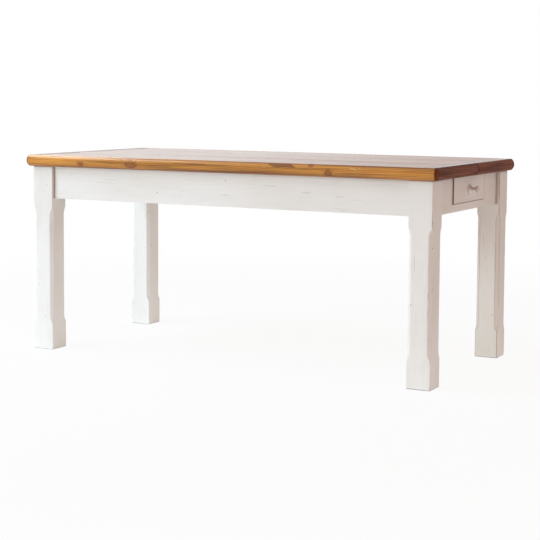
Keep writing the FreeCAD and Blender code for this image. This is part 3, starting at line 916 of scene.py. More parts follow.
def ease_arrises(piece: Piece, width: float, by_weight: bool = False) -> None:
    """Rounds the arrises of a piece and keeps its flats flat.

    Args:
        piece: The piece.
        width: Width of the rounding.
        by_weight: True if only the weighted edges are rounded, else every square corner.
    """
    ease = piece.modifiers.new("ease", "BEVEL")
    ease.width = width
    ease.segments = 2
    ease.limit_method = "WEIGHT" if by_weight else "ANGLE"
    ease.angle_limit = SQUARE_ANGLE
    ease.use_clamp_overlap = not by_weight
    flatten(piece).keep_sharp = True
    settle(piece)


def dress(piece: Piece, node: str, finish: Finish) -> None:
    """Puts a finished piece in the place of a node.

    Args:
        piece: The piece, with its mesh in place.
        node: The node that it stands for.
        finish: Its finish.
    """
    piece.data.materials.clear()
    piece.data.materials.append(finish.material())
    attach(piece, frame["nodes"][node]["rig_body"])
    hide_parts(node)
    faces = len(piece.data.polygons)
    log.info("%s stands for %s in %s: %d faces", piece.name, node, finish.name, faces)


@dataclass
class SawnBoard:
    """A copy of a board of the frame, with eased arrises and the marks that its finish reads."""

    node: str
    finish: Finish
    way: GrainWay
    seed: int
    tone: float = 0.5
    ease: float = 0.001
    margin: float = 0.007
    shortest_arris: float = 0.008

    def build(self) -> None:
        """Makes the board and puts it in its node's place."""
        shape = bmesh.new()
        shape.from_mesh(frame["nodes"][self.node].data)
        bmesh.ops.remove_doubles(shape, verts=shape.verts, dist=WELD)
        bmesh.ops.dissolve_limit(
            shape, angle_limit=FLAT_ANGLE, verts=shape.verts, edges=shape.edges)
        starts, ends = self.mark_arrises(shape)
        self.score(shape, np.concatenate((starts, ends)))
        piece = to_piece(shape, self.node + "_board", SAWN_ANGLE)
        ease_arrises(piece, self.ease, True)
        carry(piece.data, ARRIS, from_segments(points_of(piece.data), starts, ends))
        lay_grain(piece.data, self.way, self.seed, self.tone)
        dress(piece, self.node, self.finish)

    def mark_arrises(self, shape: Shape) -> tuple[Array, Array]:
        """Weights the long outer edges of the board.

        Args:
            shape: The board.

        Returns:
            One end and the other end of each such edge.
        """
        weight = shape.edges.layers.float.new("bevel_weight_edge")
        starts = []
        ends = []
        for edge in shape.edges:
            square = len(edge.link_faces) == 2 and edge.calc_face_angle() > SAWN_ANGLE
            if square and edge.is_convex and edge.calc_length() > self.shortest_arris:
                edge[weight] = 1.0
                starts.append(tuple(edge.verts[0].co))
                ends.append(tuple(edge.verts[1].co))
        return np.array(starts), np.array(ends)

    def score(self, shape: Shape, corners: Array) -> None:
        """Cuts the faces a little way in from the arrises, so that the marks stay close to them.

        Args:
            shape: The board.
            corners: Ends of the arrises.
        """
        for axis in range(3):
            across = Vector(np.eye(3)[axis])
            levels = np.unique(corners[:, axis].round(4))
            cuts = np.concatenate((levels - self.margin, levels + self.margin))
            for cut in np.unique(cuts.round(5)):
                inside = levels[0] < cut < levels[-1]
                if inside and np.abs(levels - cut).min() > self.margin * 0.6:
                    saw(shape, across * float(cut), across)


# The plank top
@dataclass
class PlankTop:
    """The stained top: six planks, two nosed edge boards and four nosed end boards."""

    nosing_depth: float = 0.0125
    nosing_softening: float = 0.004
    corner_radius: float = 0.0145
    nosing_steps: int = 16
    softening_steps: int = 4
    corner_steps: int = 7
    run_step: float = 0.012
    joint_ease: float = 0.0012
    end_ease: float = 0.0024
    wear: float = 0.0004
    wear_lumps: Pair = (26.0, 70.0)
    edge_tone: float = 0.6
    plank_tones: tuple[float, ...] = (0.62, 0.38, 0.85, 0.5, 0.3, 0.7)
    plank_drops: tuple[float, ...] = (0.0001, 0.0004, 0.0, 0.0003, 0.0001, 0.0004)
    plank_scores: tuple[float, ...] = (-0.4, -0.2, 0.0, 0.2, 0.4)
    end_tones: dict[str, float] = field(default_factory=lambda: {
        "top_right_end_front": 0.52,
        "top_right_end_back": 0.78,
        "top_left_end_front": 0.62,
        "top_left_end_back": 0.55,
    })

    def __post_init__(self) -> None:
        """Takes the sizes of the top from the frame."""
        low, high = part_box("top_front_edge")
        self.half_length = high.x
        self.half_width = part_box("top_back_edge")[1].y
        self.under = low.z
        self.thickness = high.z - low.z
        self.field_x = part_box("top_right_end_front")[0].x
        self.field_y = -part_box("top_plank_1")[0].y

    def build(self) -> None:
        """Makes every board of the top."""
        slab = self.slab()
        self.edge(slab, "top_front_edge", -1, HONEY_FRONT, Seed.EDGES)
        self.edge(slab, "top_back_edge", 1, HONEY_BACK, Seed.EDGES + 1)
        for number, (node, tone) in enumerate(self.end_tones.items()):
            self.end(slab, node, tone, Seed.ENDS + number)
        slab.free()
        for number in range(len(self.plank_tones)):
            self.plank(number)

    def section(self) -> list[Pair]:
        """The nosing as its inset from the outermost line and its height, from below to above."""
        half = self.thickness / 2
        radius = (half ** 2 + self.nosing_depth ** 2) / (2 * self.nosing_depth)
        rise = half - self.nosing_softening
        reach = math.sqrt((radius - self.nosing_softening) ** 2 - rise ** 2)
        bend = math.atan2(rise, reach)
        middle = self.under + half
        steps = range(self.nosing_steps + 1)
        bulge = [bend * (2 * step / self.nosing_steps - 1) for step in steps]
        points = [(radius * (1 - math.cos(a)), middle + radius * math.sin(a)) for a in bulge]
        soft = []
        for step in range(1, self.softening_steps + 1):
            angle = bend + (math.pi / 2 - bend) * step / self.softening_steps
            inset = radius - reach - self.nosing_softening * math.cos(angle)
            soft.append((inset, rise + self.nosing_softening * math.sin(angle)))
        upper = [(inset, middle + height) for inset, height in soft]
        lower = [(inset, middle - height) for inset, height in reversed(soft)]
        return lower + points + upper

    def run(self, half: float, joints: Sequence[float]) -> list[float]:
        """Places along a straight side, which keep half a step clear of its joints."""
        stops = [-half, *joints, half]
        places = []
        for start, end in zip(stops, stops[1:]):
            count = max(2, round((end - start) / self.run_step))
            places += [start + (end - start) * (step + 0.5) / count for step in range(count)]
        return places

    def outline(self, inset: float) -> list[Pair]:
        """The outline of the top at an inset, anticlockwise from the start of the right side."""
        run_x = self.half_length - self.corner_radius
        run_y = self.half_width - self.corner_radius
        radius = self.corner_radius - inset
        along_x = self.run(run_x, (-self.field_x, self.field_x))
        along_y = self.run(run_y, (-self.field_y, 0.0, self.field_y))
        reach_x = self.half_length - inset
        reach_y = self.half_width - inset
        sides = [
            [(reach_x, y) for y in along_y],
            [(-x, reach_y) for x in along_x],
            [(-reach_x, -y) for y in along_y],
            [(x, -reach_y) for x in along_x],
        ]
        centres = [(run_x, run_y), (-run_x, run_y), (-run_x, -run_y), (run_x, -run_y)]
        points = []
        for turn, (side, (x, y)) in enumerate(zip(sides, centres)):
            points += side
            for step in range(self.corner_steps + 1):
                angle = math.pi / 2 * (turn + step / self.corner_steps)
                points.append((x + radius * math.cos(angle), y + radius * math.sin(angle)))
        return points

    def slab(self) -> Shape:
        """The whole top as one nosed slab, a little worn along its nosing."""
        shape = bmesh.new()
        rings = []
        coarse, fine = self.wear_lumps
        for inset, height in self.section():
            ring = []
            for x, y in self.outline(inset):
                spot = Vector((x, y, height))
                inwards = Vector((-x / self.half_length, -y / self.half_width, 0)).normalized()
                hollow = max(0.0, noise.noise(spot * coarse) + 0.5 * noise.noise(spot * fine))
                ring.append(shape.verts.new(spot + inwards * self.wear * hollow))
            rings.append(ring)
        count = len(rings[0])
        for lower, upper in zip(rings, rings[1:]):
            for i in range(count):
                j = (i + 1) % count
                shape.faces.new((lower[i], lower[j], upper[j], upper[i]))
        shape.faces.new(rings[-1])
        shape.faces.new(rings[0][::-1])
        return shape

    def cut(
        self, slab: Shape, node: str, planes: Sequence[tuple[Vector, Vector]], ease: float,
    ) -> Piece:
        """A board sawn out of the slab.

        Args:
            slab: The slab, which is kept.
            node: The node that the board stands for.
            planes: A point of each saw cut and the way to the waste.
            ease: Width of the rounding along its joints.

        Returns:
            The board with its joints eased.
        """
        shape = slab.copy()
        for point, waste in planes:
            saw(shape, point, waste, True)
        piece = to_piece(shape, node + "_board", SMOOTH_ANGLE)
        ease_arrises(piece, ease)
        points = points_of(piece.data)
        gaps = [np.abs((points - np.array(point)) @ np.array(waste)) for point, waste in planes]
        carry(piece.data, ARRIS, np.min(gaps, axis=0))
        return piece

    def edge(self, slab: Shape, node: str, side: int, finish: Finish, seed: int) -> None:
        """Makes the edge board on one long side."""
        planes = [(Vector((0, side * self.field_y, 0)), Vector((0, -side, 0)))]
        piece = self.cut(slab, node, planes, self.joint_ease)
        lay_grain(piece.data, GrainWay.LENGTHWISE_FLAT, seed, self.edge_tone)
        dress(piece, node, finish)

    def end(self, slab: Shape, node: str, tone: float, seed: int) -> None:
        """Makes one of the two boards across an end."""
        middle = sum(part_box(node), Vector()) / 2
        across = Vector((math.copysign(1, middle.x), 0, 0))
        outwards = Vector((0, math.copysign(1, middle.y), 0))
        planes = [
            (across * self.field_x, -across),
            (outwards * self.field_y, outwards),
            (Vector(), -outwards),
        ]
        piece = self.cut(slab, node, planes, self.end_ease)
        lay_grain(piece.data, GrainWay.CROSSWISE_FLAT, seed, tone)
        dress(piece, node, DARK_STAIN)

    def plank(self, number: int) -> None:
        """Makes a plank of the field, with eased long edges, a hair lower than the edges."""
        node = f"top_plank_{number + 1}"
        width = 2 * self.field_y / len(self.plank_tones)
        front = -self.field_y + number * width
        size = Vector((2 * self.field_x, width, self.thickness - self.plank_drops[number]))
        centre = Vector((0, front + width / 2, self.under + size.z / 2))
        shape = bmesh.new()
        place = Matrix.Translation(centre) @ Matrix.Diagonal((*size, 1))
        bmesh.ops.create_cube(shape, size=1.0, matrix=place)
        for share in self.plank_scores:
            saw(shape, centre + Vector((0, share * width, 0)), Vector((0, 1, 0)))
        piece = to_piece(shape, node + "_board", SMOOTH_ANGLE)
        ease_arrises(piece, self.joint_ease)
        points = points_of(piece.data)
        edge_gap = np.minimum(points[:, 1] - front, front + width - points[:, 1])
        end_gap = self.field_x - np.abs(points[:, 0])
        carry(piece.data, ARRIS, np.minimum(edge_gap, end_gap))
        tone = self.plank_tones[number]
        lay_grain(piece.data, GrainWay.LENGTHWISE_FLAT, Seed.PLANKS + number, tone)
        dress(piece, node, BROWN_STAIN)


# Geometry trees
def group_inputs(bench: NodeBench, kinds: dict[str, str]) -> dict[str, Channel]:
    """Gives a geometry tree its named inputs, each with its socket type."""
    for name, kind in kinds.items():
        bench.tree.interface.new_socket(name, in_out="INPUT", socket_type=kind)
    entry = bench.tree.nodes.new("NodeGroupInput")
    return {name: Channel(bench, entry.outputs[name]) for name in kinds}


def close_tree(bench: NodeBench, shape: Channel, material: bpy.types.Material) -> None:
    """Ends a geometry tree: real meshes, smooth, with a material."""
    kind = "NodeSocketGeometry"
    bench.tree.interface.new_socket("Geometry", in_out="OUTPUT", socket_type=kind)
    shape = bench.add("GeometryNodeRealizeInstances", {"Geometry": shape})
    shape = bench.add("GeometryNodeSetShadeSmooth", {"Geometry": shape})
    shape = bench.add("GeometryNodeSetMaterial", {"Geometry": shape, "Material": material})
    leave = bench.tree.nodes.new("NodeGroupOutput")
    bench.tree.links.new(shape.socket, leave.inputs["Geometry"])


def run_tree(piece: Piece, tree: bpy.types.NodeTree, values: dict[str, Any]) -> None:
    """Puts a geometry tree on a piece, and sets its inputs by their names."""
    maker = piece.modifiers.new("maker", "NODES")
    maker.node_group = tree
    for item in tree.interface.items_tree:
        if item.in_out == "INPUT" and item.name in values:
            maker[item.identifier] = values[item.name]


# Legs
@dataclass
class LegSet:
    """Four square legs with stopped chamfers, made by one rule, and the blocks behind them."""

    chamfer: float = 0.0125
    stop: float = 0.028
    foot: float = 0.104
    head: float = 0.166
    bolt_flat: float = 0.014
    arris: float = 0.0013
    knock: float = 0.0004
    foot_round: float = 0.0025
    face_slack: float = 0.0005
    strip_slack: float = 0.003
    face_steps: int = 8
    corner_steps: int = 3
    levels: int = 196
    wear: dict[str, float] = field(default_factory=lambda: {
        "back_right": 0.7,
        "back_left": 0.4,
        "front_left": 0.35,
        "front_right": 0.45,
    })
    inner_corners: dict[str, int] = field(default_factory=lambda: {
        "back_right": 2,
        "back_left": 3,
        "front_left": 0,
        "front_right": 1,
    })

    def build(self) -> None:
        """Makes the legs and their corner blocks."""
        tree = self.rule()
        block_way = GrainWay.CROSSWISE_UPRIGHT
        for number, (corner, wear) in enumerate(self.wear.items()):
            node = corner + "_leg"
            low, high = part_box(node)
            piece = new_piece(node + "_chamfered", bpy.data.meshes.new(node + "_seed"))
            run_tree(piece, tree, {
                "Place": ((low.x + high.x) / 2, (low.y + high.y) / 2, low.z),
                "Height": high.z - low.z,
                "Section": high.x - low.x,
                "Flat Level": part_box("front_apron")[0].z,
                "Inner Corner": float(self.inner_corners[corner]),
            })
            flatten(piece)
            settle(piece)
            # Painted shade, with dirt, in the strips beside the apron and the rail.
            carry(piece.data, HOLLOW, self.tucks(points_of(piece.data), node))
            lay_grain(piece.data, GrainWay.STANDING, Seed.LEGS + number, wear)
            dress(piece, node, LEG_PAINT)
            seed = Seed.BLOCKS + number
            SawnBoard(corner + "_corner_block", RAW_PINE, block_way, seed).build()

    def rule(self) -> bpy.types.NodeTree:
        """The tree that makes a leg from its sizes."""
        tree = bpy.data.node_groups.new("stop_chamfered_leg", "GeometryNodeTree")
        bench = NodeBench(tree)
        numbers = ("Height", "Section", "Flat Level", "Inner Corner")
        kinds = {"Place": "NodeSocketVector"} | dict.fromkeys(numbers, "NodeSocketFloat")
        given = group_inputs(bench, kinds)
        quarter_steps = self.face_steps + self.corner_steps
        columns = 4 * quarter_steps
        sizes = {"Vertices": columns, "Side Segments": self.levels, "Radius": 1.0, "Depth": 1.0}
        bar = bench.add("GeometryNodeMeshCylinder", sizes, fill_type="NGON")
        x, y, z = bench.add("GeometryNodeInputPosition").parts()
        level = (z + 0.5) * given["Height"]
        turn = (y.math("ARCTAN2", x) / FULL_TURN).math("FRACT")
        column = (turn * columns).math("ROUND").math("FLOORED_MODULO", columns)
        quarter = ((column + 0.5) / quarter_steps).math("FLOOR")
        step = column - quarter * quarter_steps
        half = given["Section"] * 0.5
        chamfer = self.chamfer_at(level, given["Height"])
        flat = self.bolt_flat * (level > given["Flat Level"])

        def corner_cut(number: Channel) -> Channel:
            """Width of the cut on a corner, which is wider where the bolts go in."""
            inner = (number - given["Inner Corner"]).math("FLOORED_MODULO", 4.0)
            return chamfer.most(flat * (1 - (inner > 0.5)))

        ahead = corner_cut(quarter)
        behind = corner_cut(quarter + 3.0)
        face = 2 * half - ahead - behind
        along = self.crowd(step, self.face_steps, face)
        slant = ahead * ROOT_TWO
        on_corner = self.crowd(step - self.face_steps, self.corner_steps, slant)
        round_corner = on_corner / ROOT_TWO
        gap = along.least(face - along).most((slant - on_corner).least(on_corner))
        dent = self.dents(bench, given["Place"], level, quarter, gap)
        squeeze = 1 - dent / half - self.foot_ease(level, given["Height"]) / half
        out = (half - round_corner) * squeeze
        across = (behind - half + along + round_corner) * squeeze
        links = {"Vector": bench.vector(out, across, level), "Angle": quarter * (math.pi / 2)}
        turned = bench.add("ShaderNodeVectorRotate", links, rotation_type="Z_AXIS")
        links = {"Geometry": bar, "Name": ARRIS, "Value": gap}
        kinds = {"data_type": "FLOAT", "domain": "POINT"}
        marked = bench.add("GeometryNodeStoreNamedAttribute", links, **kinds)
        links = {"Geometry": marked, "Position": turned.shift(given["Place"])}
        shaped = bench.add("GeometryNodeSetPosition", links)
        close_tree(bench, shaped, LEG_PAINT.material())
        return tree

    def tucks(self, points: Array, node: str) -> Array:
        """Painted shade, with dirt, on a leg: the strips beside the apron and the rail, in the
        corners that they make with it.

        Args:
            points: Points of the leg.
            node: Its node.

        Returns:
            One at the joint, and less towards the arris.
        """
        inner, outer = np.sort(np.abs([tuple(corner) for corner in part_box(node)]), axis=0)
        faces = np.array([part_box("right_end_rail")[1].x, -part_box("front_apron")[0].y])
        spots = np.abs(points[:, :2])
        depth = ((outer[:2] - spots) / (outer[:2] - faces)).clip(0, 1)
        on_inner = spots < inner[:2] + self.face_slack
        strips = depth * on_inner[:, ::-1] * (spots > faces - self.strip_slack)
        return strips.max(1) * (points[:, 2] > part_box("front_apron")[0].z)

    def chamfer_at(self, level: Channel, height: Channel) -> Channel:
        """Width of the chamfer at a level: flat between round stops, and the arris beyond them."""
        depth = self.chamfer / ROOT_TWO
        radius = (self.stop ** 2 + depth ** 2) / (2 * depth)
        below = (self.foot + self.stop) - level
        above = level - height + (self.head + self.stop)
        past = below.most(above).most(0.0)
        sunk = (radius ** 2 - past * past).most(0.0).root() - (radius - depth)
        return (sunk * ROOT_TWO).most(self.arris)

    def foot_ease(self, level: Channel, height: Channel) -> Channel:
        """How far the ends of the leg are drawn in."""
        return level.least(height - level).smooth(self.foot_round, 0.0) * self.arris

    def crowd(self, step: Channel, steps: int, width: Channel) -> Channel:
        """Places of the columns across a face, with the first and the last close to its arrises.

        Args:
            step: Number of the column.
            steps: Number of the last column.
            width: Width of the face.

        Returns:
            Distance of the column from the start of the face.
        """
        ease = (width * 0.3).least(self.arris)
        first = step.clamp()
        inner = ((step - 1) / (steps - 2)).clamp()
        last = (step - (steps - 1)).clamp()
        return ease * (first + last) + inner * (width - 2 * ease)

    def dents(
        self, bench: NodeBench, place: Channel, level: Channel, quarter: Channel, gap: Channel,
    ) -> Channel:
        """Depth of the knocks along the arrises of a leg.

        Args:
            bench: The tree.
            place: Where the leg stands.
            level: Height on the leg.
            quarter: Number of the side.
            gap: Distance from the nearest arris.

        Returns:
            The depth.
        """
        spot = bench.vector(quarter * 3.7, 0.0, level * 30.0)
        lump = bench.noise(spot.shift(place.stretch((9.0, 9.0, 0.0))), detail=3.0, roughness=0.6)
        return lump.smooth(0.62, 0.78) * gap.smooth(0.002, 0.0) * self.knock


# Aprons and rails
@dataclass
class ApronFrame:
    """The boards between the legs, and the buttons that hold the top down."""

    ease: float = 0.0014

    def build(self) -> None:
        """Makes the aprons, rails and buttons."""
        upright = GrainWay.LENGTHWISE_UPRIGHT
        across = GrainWay.CROSSWISE_UPRIGHT
        boards = [
            ("front_apron", FRONT_PAINT, upright, 0.3, self.ease),
            ("back_apron", APRON_PAINT, upright, 0.3, self.ease),
            ("right_end_rail", RAIL_PAINT, across, 0.4, self.ease),
            ("left_end_rail", RAIL_PAINT, across, 0.4, self.ease),
            ("right_cross_rail", RAW_PINE, across),
            ("left_cross_rail", RAW_PINE, across),
            ("middle_cross_rail", RAW_PINE, across),
            ("top_buttons", RAW_PINE, GrainWay.CROSSWISE_FLAT),
        ]
        for number, (node, finish, way, *looks) in enumerate(boards):
            SawnBoard(node, finish, way, Seed.FRAME + number, *looks).build()


# Drawers
@dataclass
class Drawer:
    """One drawer with its turned knob, and the runners that carry it."""

    end: str
    seed: int
    foot_band: float = 0.0025
    neck_radius: float = 0.0075
    neck_reach: float = 0.0155
    head_radius: float = 0.015
    head_start: float = 0.0285
    head_band: float = 0.0025
    mark_radius: float = 0.0015
    mark_depth: float = 0.0012
    spokes: int = 56
    arc_steps: int = 14
    lathe_ease: float = 0.0006
    knob_tone: float = 0.2

    def build(self) -> None:
        """Makes the boards and the knob."""
        name = f"{self.end}_drawer_"
        upright = GrainWay.LENGTHWISE_UPRIGHT
        across = GrainWay.CROSSWISE_UPRIGHT
        boards = [
            ("front", DRAWER_PAINT, across, 0.3, 0.0009),
            ("left_side", RAW_PINE, upright, 0.6, 0.0006),
            ("right_side", RAW_PINE, upright, 0.5, 0.0006),
            ("back", RAW_PINE, across, 0.55, 0.0006),
            ("bottom", RAW_PINE, GrainWay.CROSSWISE_FLAT, 0.7, 0.0004),
            ("left_runner", RAW_PINE, upright),
            ("right_runner", RAW_PINE, upright),
        ]
        for number, (part, finish, way, *looks) in enumerate(boards):
            SawnBoard(name + part, finish, way, self.seed + number, *looks).build()
        self.knob(name + "knob", self.seed + len(boards))

    def profile(self, foot: float, reach: float) -> list[Pair]:
        """The half section of the knob as its radius and its height from the drawer front.

        Args:
            foot: Radius of its foot.
            reach: Height of its crown.

        Returns:
            Points from the middle of the foot to the mark of the lathe.
        """
        neck = (self.neck_radius, self.neck_reach)
        head = (self.head_radius, self.head_start)
        points = [(0.0, 0.0), (foot, 0.0)]
        points += arc_through((foot, self.foot_band), neck, head, self.arc_steps)
        rise = reach - (self.head_start + self.head_band)
        dome = (self.head_radius ** 2 + rise ** 2) / (2 * rise)
        start = math.asin(self.head_radius / dome)
        stop = math.asin(self.mark_radius / dome)
        steps = self.arc_steps // 2
        for step in range(steps + 1):
            angle = start + (stop - start) * step / steps
            points.append((dome * math.sin(angle), reach - dome * (1 - math.cos(angle))))
        return points + [(0.0, reach - self.mark_depth)]

    def knob(self, node: str, seed: int) -> None:
        """Turns the knob on the face of the drawer front."""
        low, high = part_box(node)
        way = 1 if self.end == "right" else -1
        base = low.x if way > 0 else high.x
        y, z = (low.y + high.y) / 2, (low.z + high.z) / 2
        shape = bmesh.new()
        rings = []
        for radius, reach in self.profile((high.y - low.y) / 2, high.x - low.x):
            x = base + way * reach
            count = self.spokes if radius else 1
            turns = [FULL_TURN * spoke / self.spokes for spoke in range(count)]
            spots = [(x, y + radius * math.cos(t), z + radius * math.sin(t)) for t in turns]
            rings.append([shape.verts.new(spot) for spot in spots])
        for lower, upper in zip(rings, rings[1:]):
            for spoke in range(self.spokes):
                corners = [lower[spoke % len(lower)], lower[(spoke + 1) % len(lower)]]
                corners += [upper[(spoke + 1) % len(upper)], upper[spoke % len(upper)]]
                shape.faces.new(dict.fromkeys(corners))
        bmesh.ops.recalc_face_normals(shape, faces=shape.faces)
        piece = to_piece(shape, node + "_turned", SMOOTH_ANGLE)
        ease_arrises(piece, self.lathe_ease)
        points = points_of(piece.data)
        reach = np.abs(points[:, 0] - base)
        radius = np.linalg.norm(points[:, 1:] - (y, z), axis=1)
        rims = (self.foot_band, self.head_start, self.head_start + self.head_band)
        carry(piece.data, ARRIS, np.min([np.abs(reach - rim) for rim in rims], axis=0))
        # Painted shade, with some dirt, on the knob.
        carry(piece.data, HOLLOW, self.shade_and_grime(reach, radius, points[:, 2] - z))
        lay_grain(piece.data, GrainWay.LENGTHWISE_UPRIGHT, seed, self.knob_tone)
        dress(piece, node, KNOB_PAINT)

    def shade_and_grime(self, reach: Array, radius: Array, rise: Array) -> Array:
        """Painted shade, with some dirt, on the knob, darker on its upper side: its neck, its rim,
        its crown's rim and its mark.

        Args:
            reach: Distance of each point from the drawer front.
            radius: Its distance from the axis.
            rise: Its height above the axis.

        Returns:
            Share of the painted shade and dirt.
        """
        # Painted shade: darker on the upper side of the knob, lighter below.
        above = (0.55 + 0.65 * rise / self.head_radius).clip(0.1, 1.0)
        depth = (self.head_radius - radius) / (self.head_radius - self.neck_radius)
        parts = [
            ((reach > self.head_start) & (radius < 1.2 * self.mark_radius), 1.0),
            (reach < self.foot_band, 0.35),
            (reach > self.head_start + self.head_band, 0.5 * radius / self.head_radius),
            (reach < self.head_start - 0.001, (0.45 + 0.4 * depth) * above),
        ]
        return np.select(*zip(*parts), default=0.85 * above).clip(0, 1)


def arc_through(start: Pair, middle: Pair, end: Pair, steps: int) -> list[Pair]:
    """Points on the arc through three points, with both ends.

    Args:
        start: Where it starts.
        middle: A point that it passes.
        end: Where it ends.
        steps: How many straight steps it is drawn with.

    Returns:
        The points.
    """
    a, b, c = (complex(*point) for point in (start, middle, end))
    w = (c - a) / (b - a)
    centre = (b - a) * (w - abs(w) ** 2) / (2j * w.imag) + a
    turn = (c - centre) / (a - centre)
    middle_turn = (b - centre) / (a - centre)
    sweep = math.atan2(turn.imag, turn.real)
    part = math.atan2(middle_turn.imag, middle_turn.real)
    if sweep * part < 0:
        sweep += math.copysign(FULL_TURN, part)
    turns = (sweep * step / steps for step in range(steps + 1))
    spots = [centre + (a - centre) * complex(math.cos(t), math.sin(t)) for t in turns]
    return [(spot.real, spot.imag) for spot in spots]


# Hardware
@dataclass
class Hardware:
    """The screws, bolts, washers and nuts, each kind set out by a tree on the frame's places."""

    slot_width: float = 0.0011
    slot_depth: float = 0.0013
    pitch: float = 0.0022
    thread: float = 0.0004
    spokes: int = 20
    bore_margin: float = 0.001
    head_rings: int = 9
    shank_rings: int = 40
    core_share: float = 0.92
    thread_share: float = 0.93
    nut_sides: int = 6

    def build(self) -> None:
        """Makes every group of fasteners."""
        makers = {
            "corner_block_screws": self.screw,
            "top_button_screws": self.screw,
            "right_drawer_knob_screw": self.screw,
            "left_drawer_knob_screw": self.screw,
            "leg_bolts": self.bolt,
            "leg_bolt_washers": self.washer,
            "leg_bolt_nuts": self.nut,
        }
        for node, maker in makers.items():
            self.group(node, maker)

    def group(self, node: str, shape: Callable[[NodeBench, dict[str, Channel]], Channel]) -> None:
        """Sets out one kind of fastener on the places that a node gives.

        Args:
            node: The node.
            shape: The method that makes one fastener along +Z from its seat.
        """
        places = Places.read(node)
        values = {
            "Length": places.length,
            "Radius": places.radius,
            "Head Radius": places.head_radius,
            "Head Height": places.head_height,
        }
        tree = bpy.data.node_groups.new(node + "_set", "GeometryNodeTree")
        bench = NodeBench(tree)
        kinds = {"Points": "NodeSocketGeometry"} | dict.fromkeys(values, "NodeSocketFloat")
        given = group_inputs(bench, kinds)
        named = {"data_type": "FLOAT_VECTOR"}
        aim = bench.add("GeometryNodeInputNamedAttribute", {"Name": AIM}, "Attribute", **named)
        turn = bench.add("FunctionNodeAlignRotationToVector", {"Vector": aim}, axis="Z")
        links = {"Points": given["Points"], "Instance": shape(bench, given), "Rotation": turn}
        spread = bench.add("GeometryNodeInstanceOnPoints", links)
        close_tree(bench, spread, ZINC_STEEL.material())
        piece = new_piece(node + "_set", places.mesh(node))
        run_tree(piece, tree, values)
        settle(piece)
        piece.data.set_sharp_from_angle(angle=SAWN_ANGLE)
        dress(piece, node, ZINC_STEEL)

    def lathe(
        self, bench: NodeBench, start: Term, end: Term, count: int,
        radius: Callable[[Channel], Term], spokes: int,
    ) -> Channel:
        """A turned form along Z.

        Args:
            bench: The tree.
            start: Level where it starts.
            end: Level where it ends.
            count: How many rings it has.
            radius: Its radius at a share of its length.
            spokes: How many sides it has.

        Returns:
            The closed mesh.
        """
        ends = {"Start": bench.vector(0.0, 0.0, start), "End": bench.vector(0.0, 0.0, end)}
        axis = bench.add("GeometryNodeCurvePrimitiveLine", ends)
        axis = bench.add("GeometryNodeResampleCurve", {"Curve": axis, "Count": count})
        share = bench.add("GeometryNodeSplineParameter")
        return self.sweep(bench, axis, spokes, 1.0, {"Scale": radius(share)})

    def sweep(
        self, bench: NodeBench, path: Channel, sides: int, radius: float, more: Links = None,
    ) -> Channel:
        """A closed tube along a path, with a number of sides, a radius and other inputs."""
        sizes = {"Resolution": sides, "Radius": radius}
        ring = bench.add("GeometryNodeCurvePrimitiveCircle", sizes)
        links = {"Curve": path, "Profile Curve": ring, "Fill Caps": True} | (more or {})
        return bench.add("GeometryNodeCurveToMesh", links)

    def lift(self, bench: NodeBench, shape: Channel, level: Term) -> Channel:
        """A mesh moved along Z."""
        links = {"Geometry": shape, "Translation": bench.vector(0.0, 0.0, level)}
        return bench.add("GeometryNodeTransform", links)

    def drill(self, bench: NodeBench, shape: Channel, tool: Channel) -> Channel:
        """A mesh less another."""
        return bench.add("GeometryNodeMeshBoolean", {0: shape, 1: tool}, operation="DIFFERENCE")

    def join(self, bench: NodeBench, *shapes: Channel) -> Channel:
        """Several meshes as one."""
        made = bench.add("GeometryNodeJoinGeometry")
        for shape in reversed(shapes):
            bench.tree.links.new(shape.socket, made.socket.node.inputs["Geometry"])
        return made

    def helix(self, bench: NodeBench, radius: Channel, start: Term, length: Channel) -> Channel:
        """A thread round a shank, from a level upwards."""
        sizes = {
            "Resolution": self.spokes,
            "Rotations": length / self.pitch,
            "Start Radius": radius,
            "End Radius": radius,
            "Height": length,
        }
        path = bench.add("GeometryNodeCurveSpiral", sizes)
        return self.lift(bench, self.sweep(bench, path, 3, self.thread), start)

    def screw(self, bench: NodeBench, given: dict[str, Channel]) -> Channel:
        """A round headed wood screw with a slot, a thread and a point."""
        length, radius, rim, rise = (
            given[name] for name in ("Length", "Radius", "Head Radius", "Head Height"))
        ball = (rim * rim + rise * rise) / (2 * rise)

        def dome(share: Channel) -> Channel:
            """Radius of the head at a share of its height, from the crown."""
            drop = share * rise
            return (2 * ball * drop - drop * drop).most(1e-9).root()

        def shank(share: Channel) -> Channel:
            """Radius of the shank, which runs to a point."""
            return ((1 - share) * length * 0.5).least(radius).most(2e-5)

        head = self.lathe(bench, -1 * rise, 0.0, self.head_rings, dome, self.spokes)
        size = bench.vector(rim * 3, self.slot_width, self.slot_depth * 2)
        blade = bench.add("GeometryNodeMeshCube", {"Size": size})
        head = self.drill(bench, head, self.lift(bench, blade, -1 * rise))
        rod = self.lathe(bench, 0.0, length, self.shank_rings, shank, self.spokes)
        thread = self.helix(bench, radius, length * 0.35, length * 0.5)
        return self.join(bench, head, rod, thread)

    def bolt(self, bench: NodeBench, given: dict[str, Channel]) -> Channel:
        """A hanger bolt: a rod with a wood thread at one end and a machine thread at the other."""
        length, radius = given["Length"], given["Radius"]
        core = radius * self.core_share
        crest = radius * self.thread_share
        rod = self.lathe(bench, 0.0, length, 3, lambda share: core, self.spokes)
        wood = self.helix(bench, crest, length * 0.04, length * 0.42)
        machine = self.helix(bench, crest, length * 0.62, length * 0.36)
        return self.join(bench, rod, wood, machine)

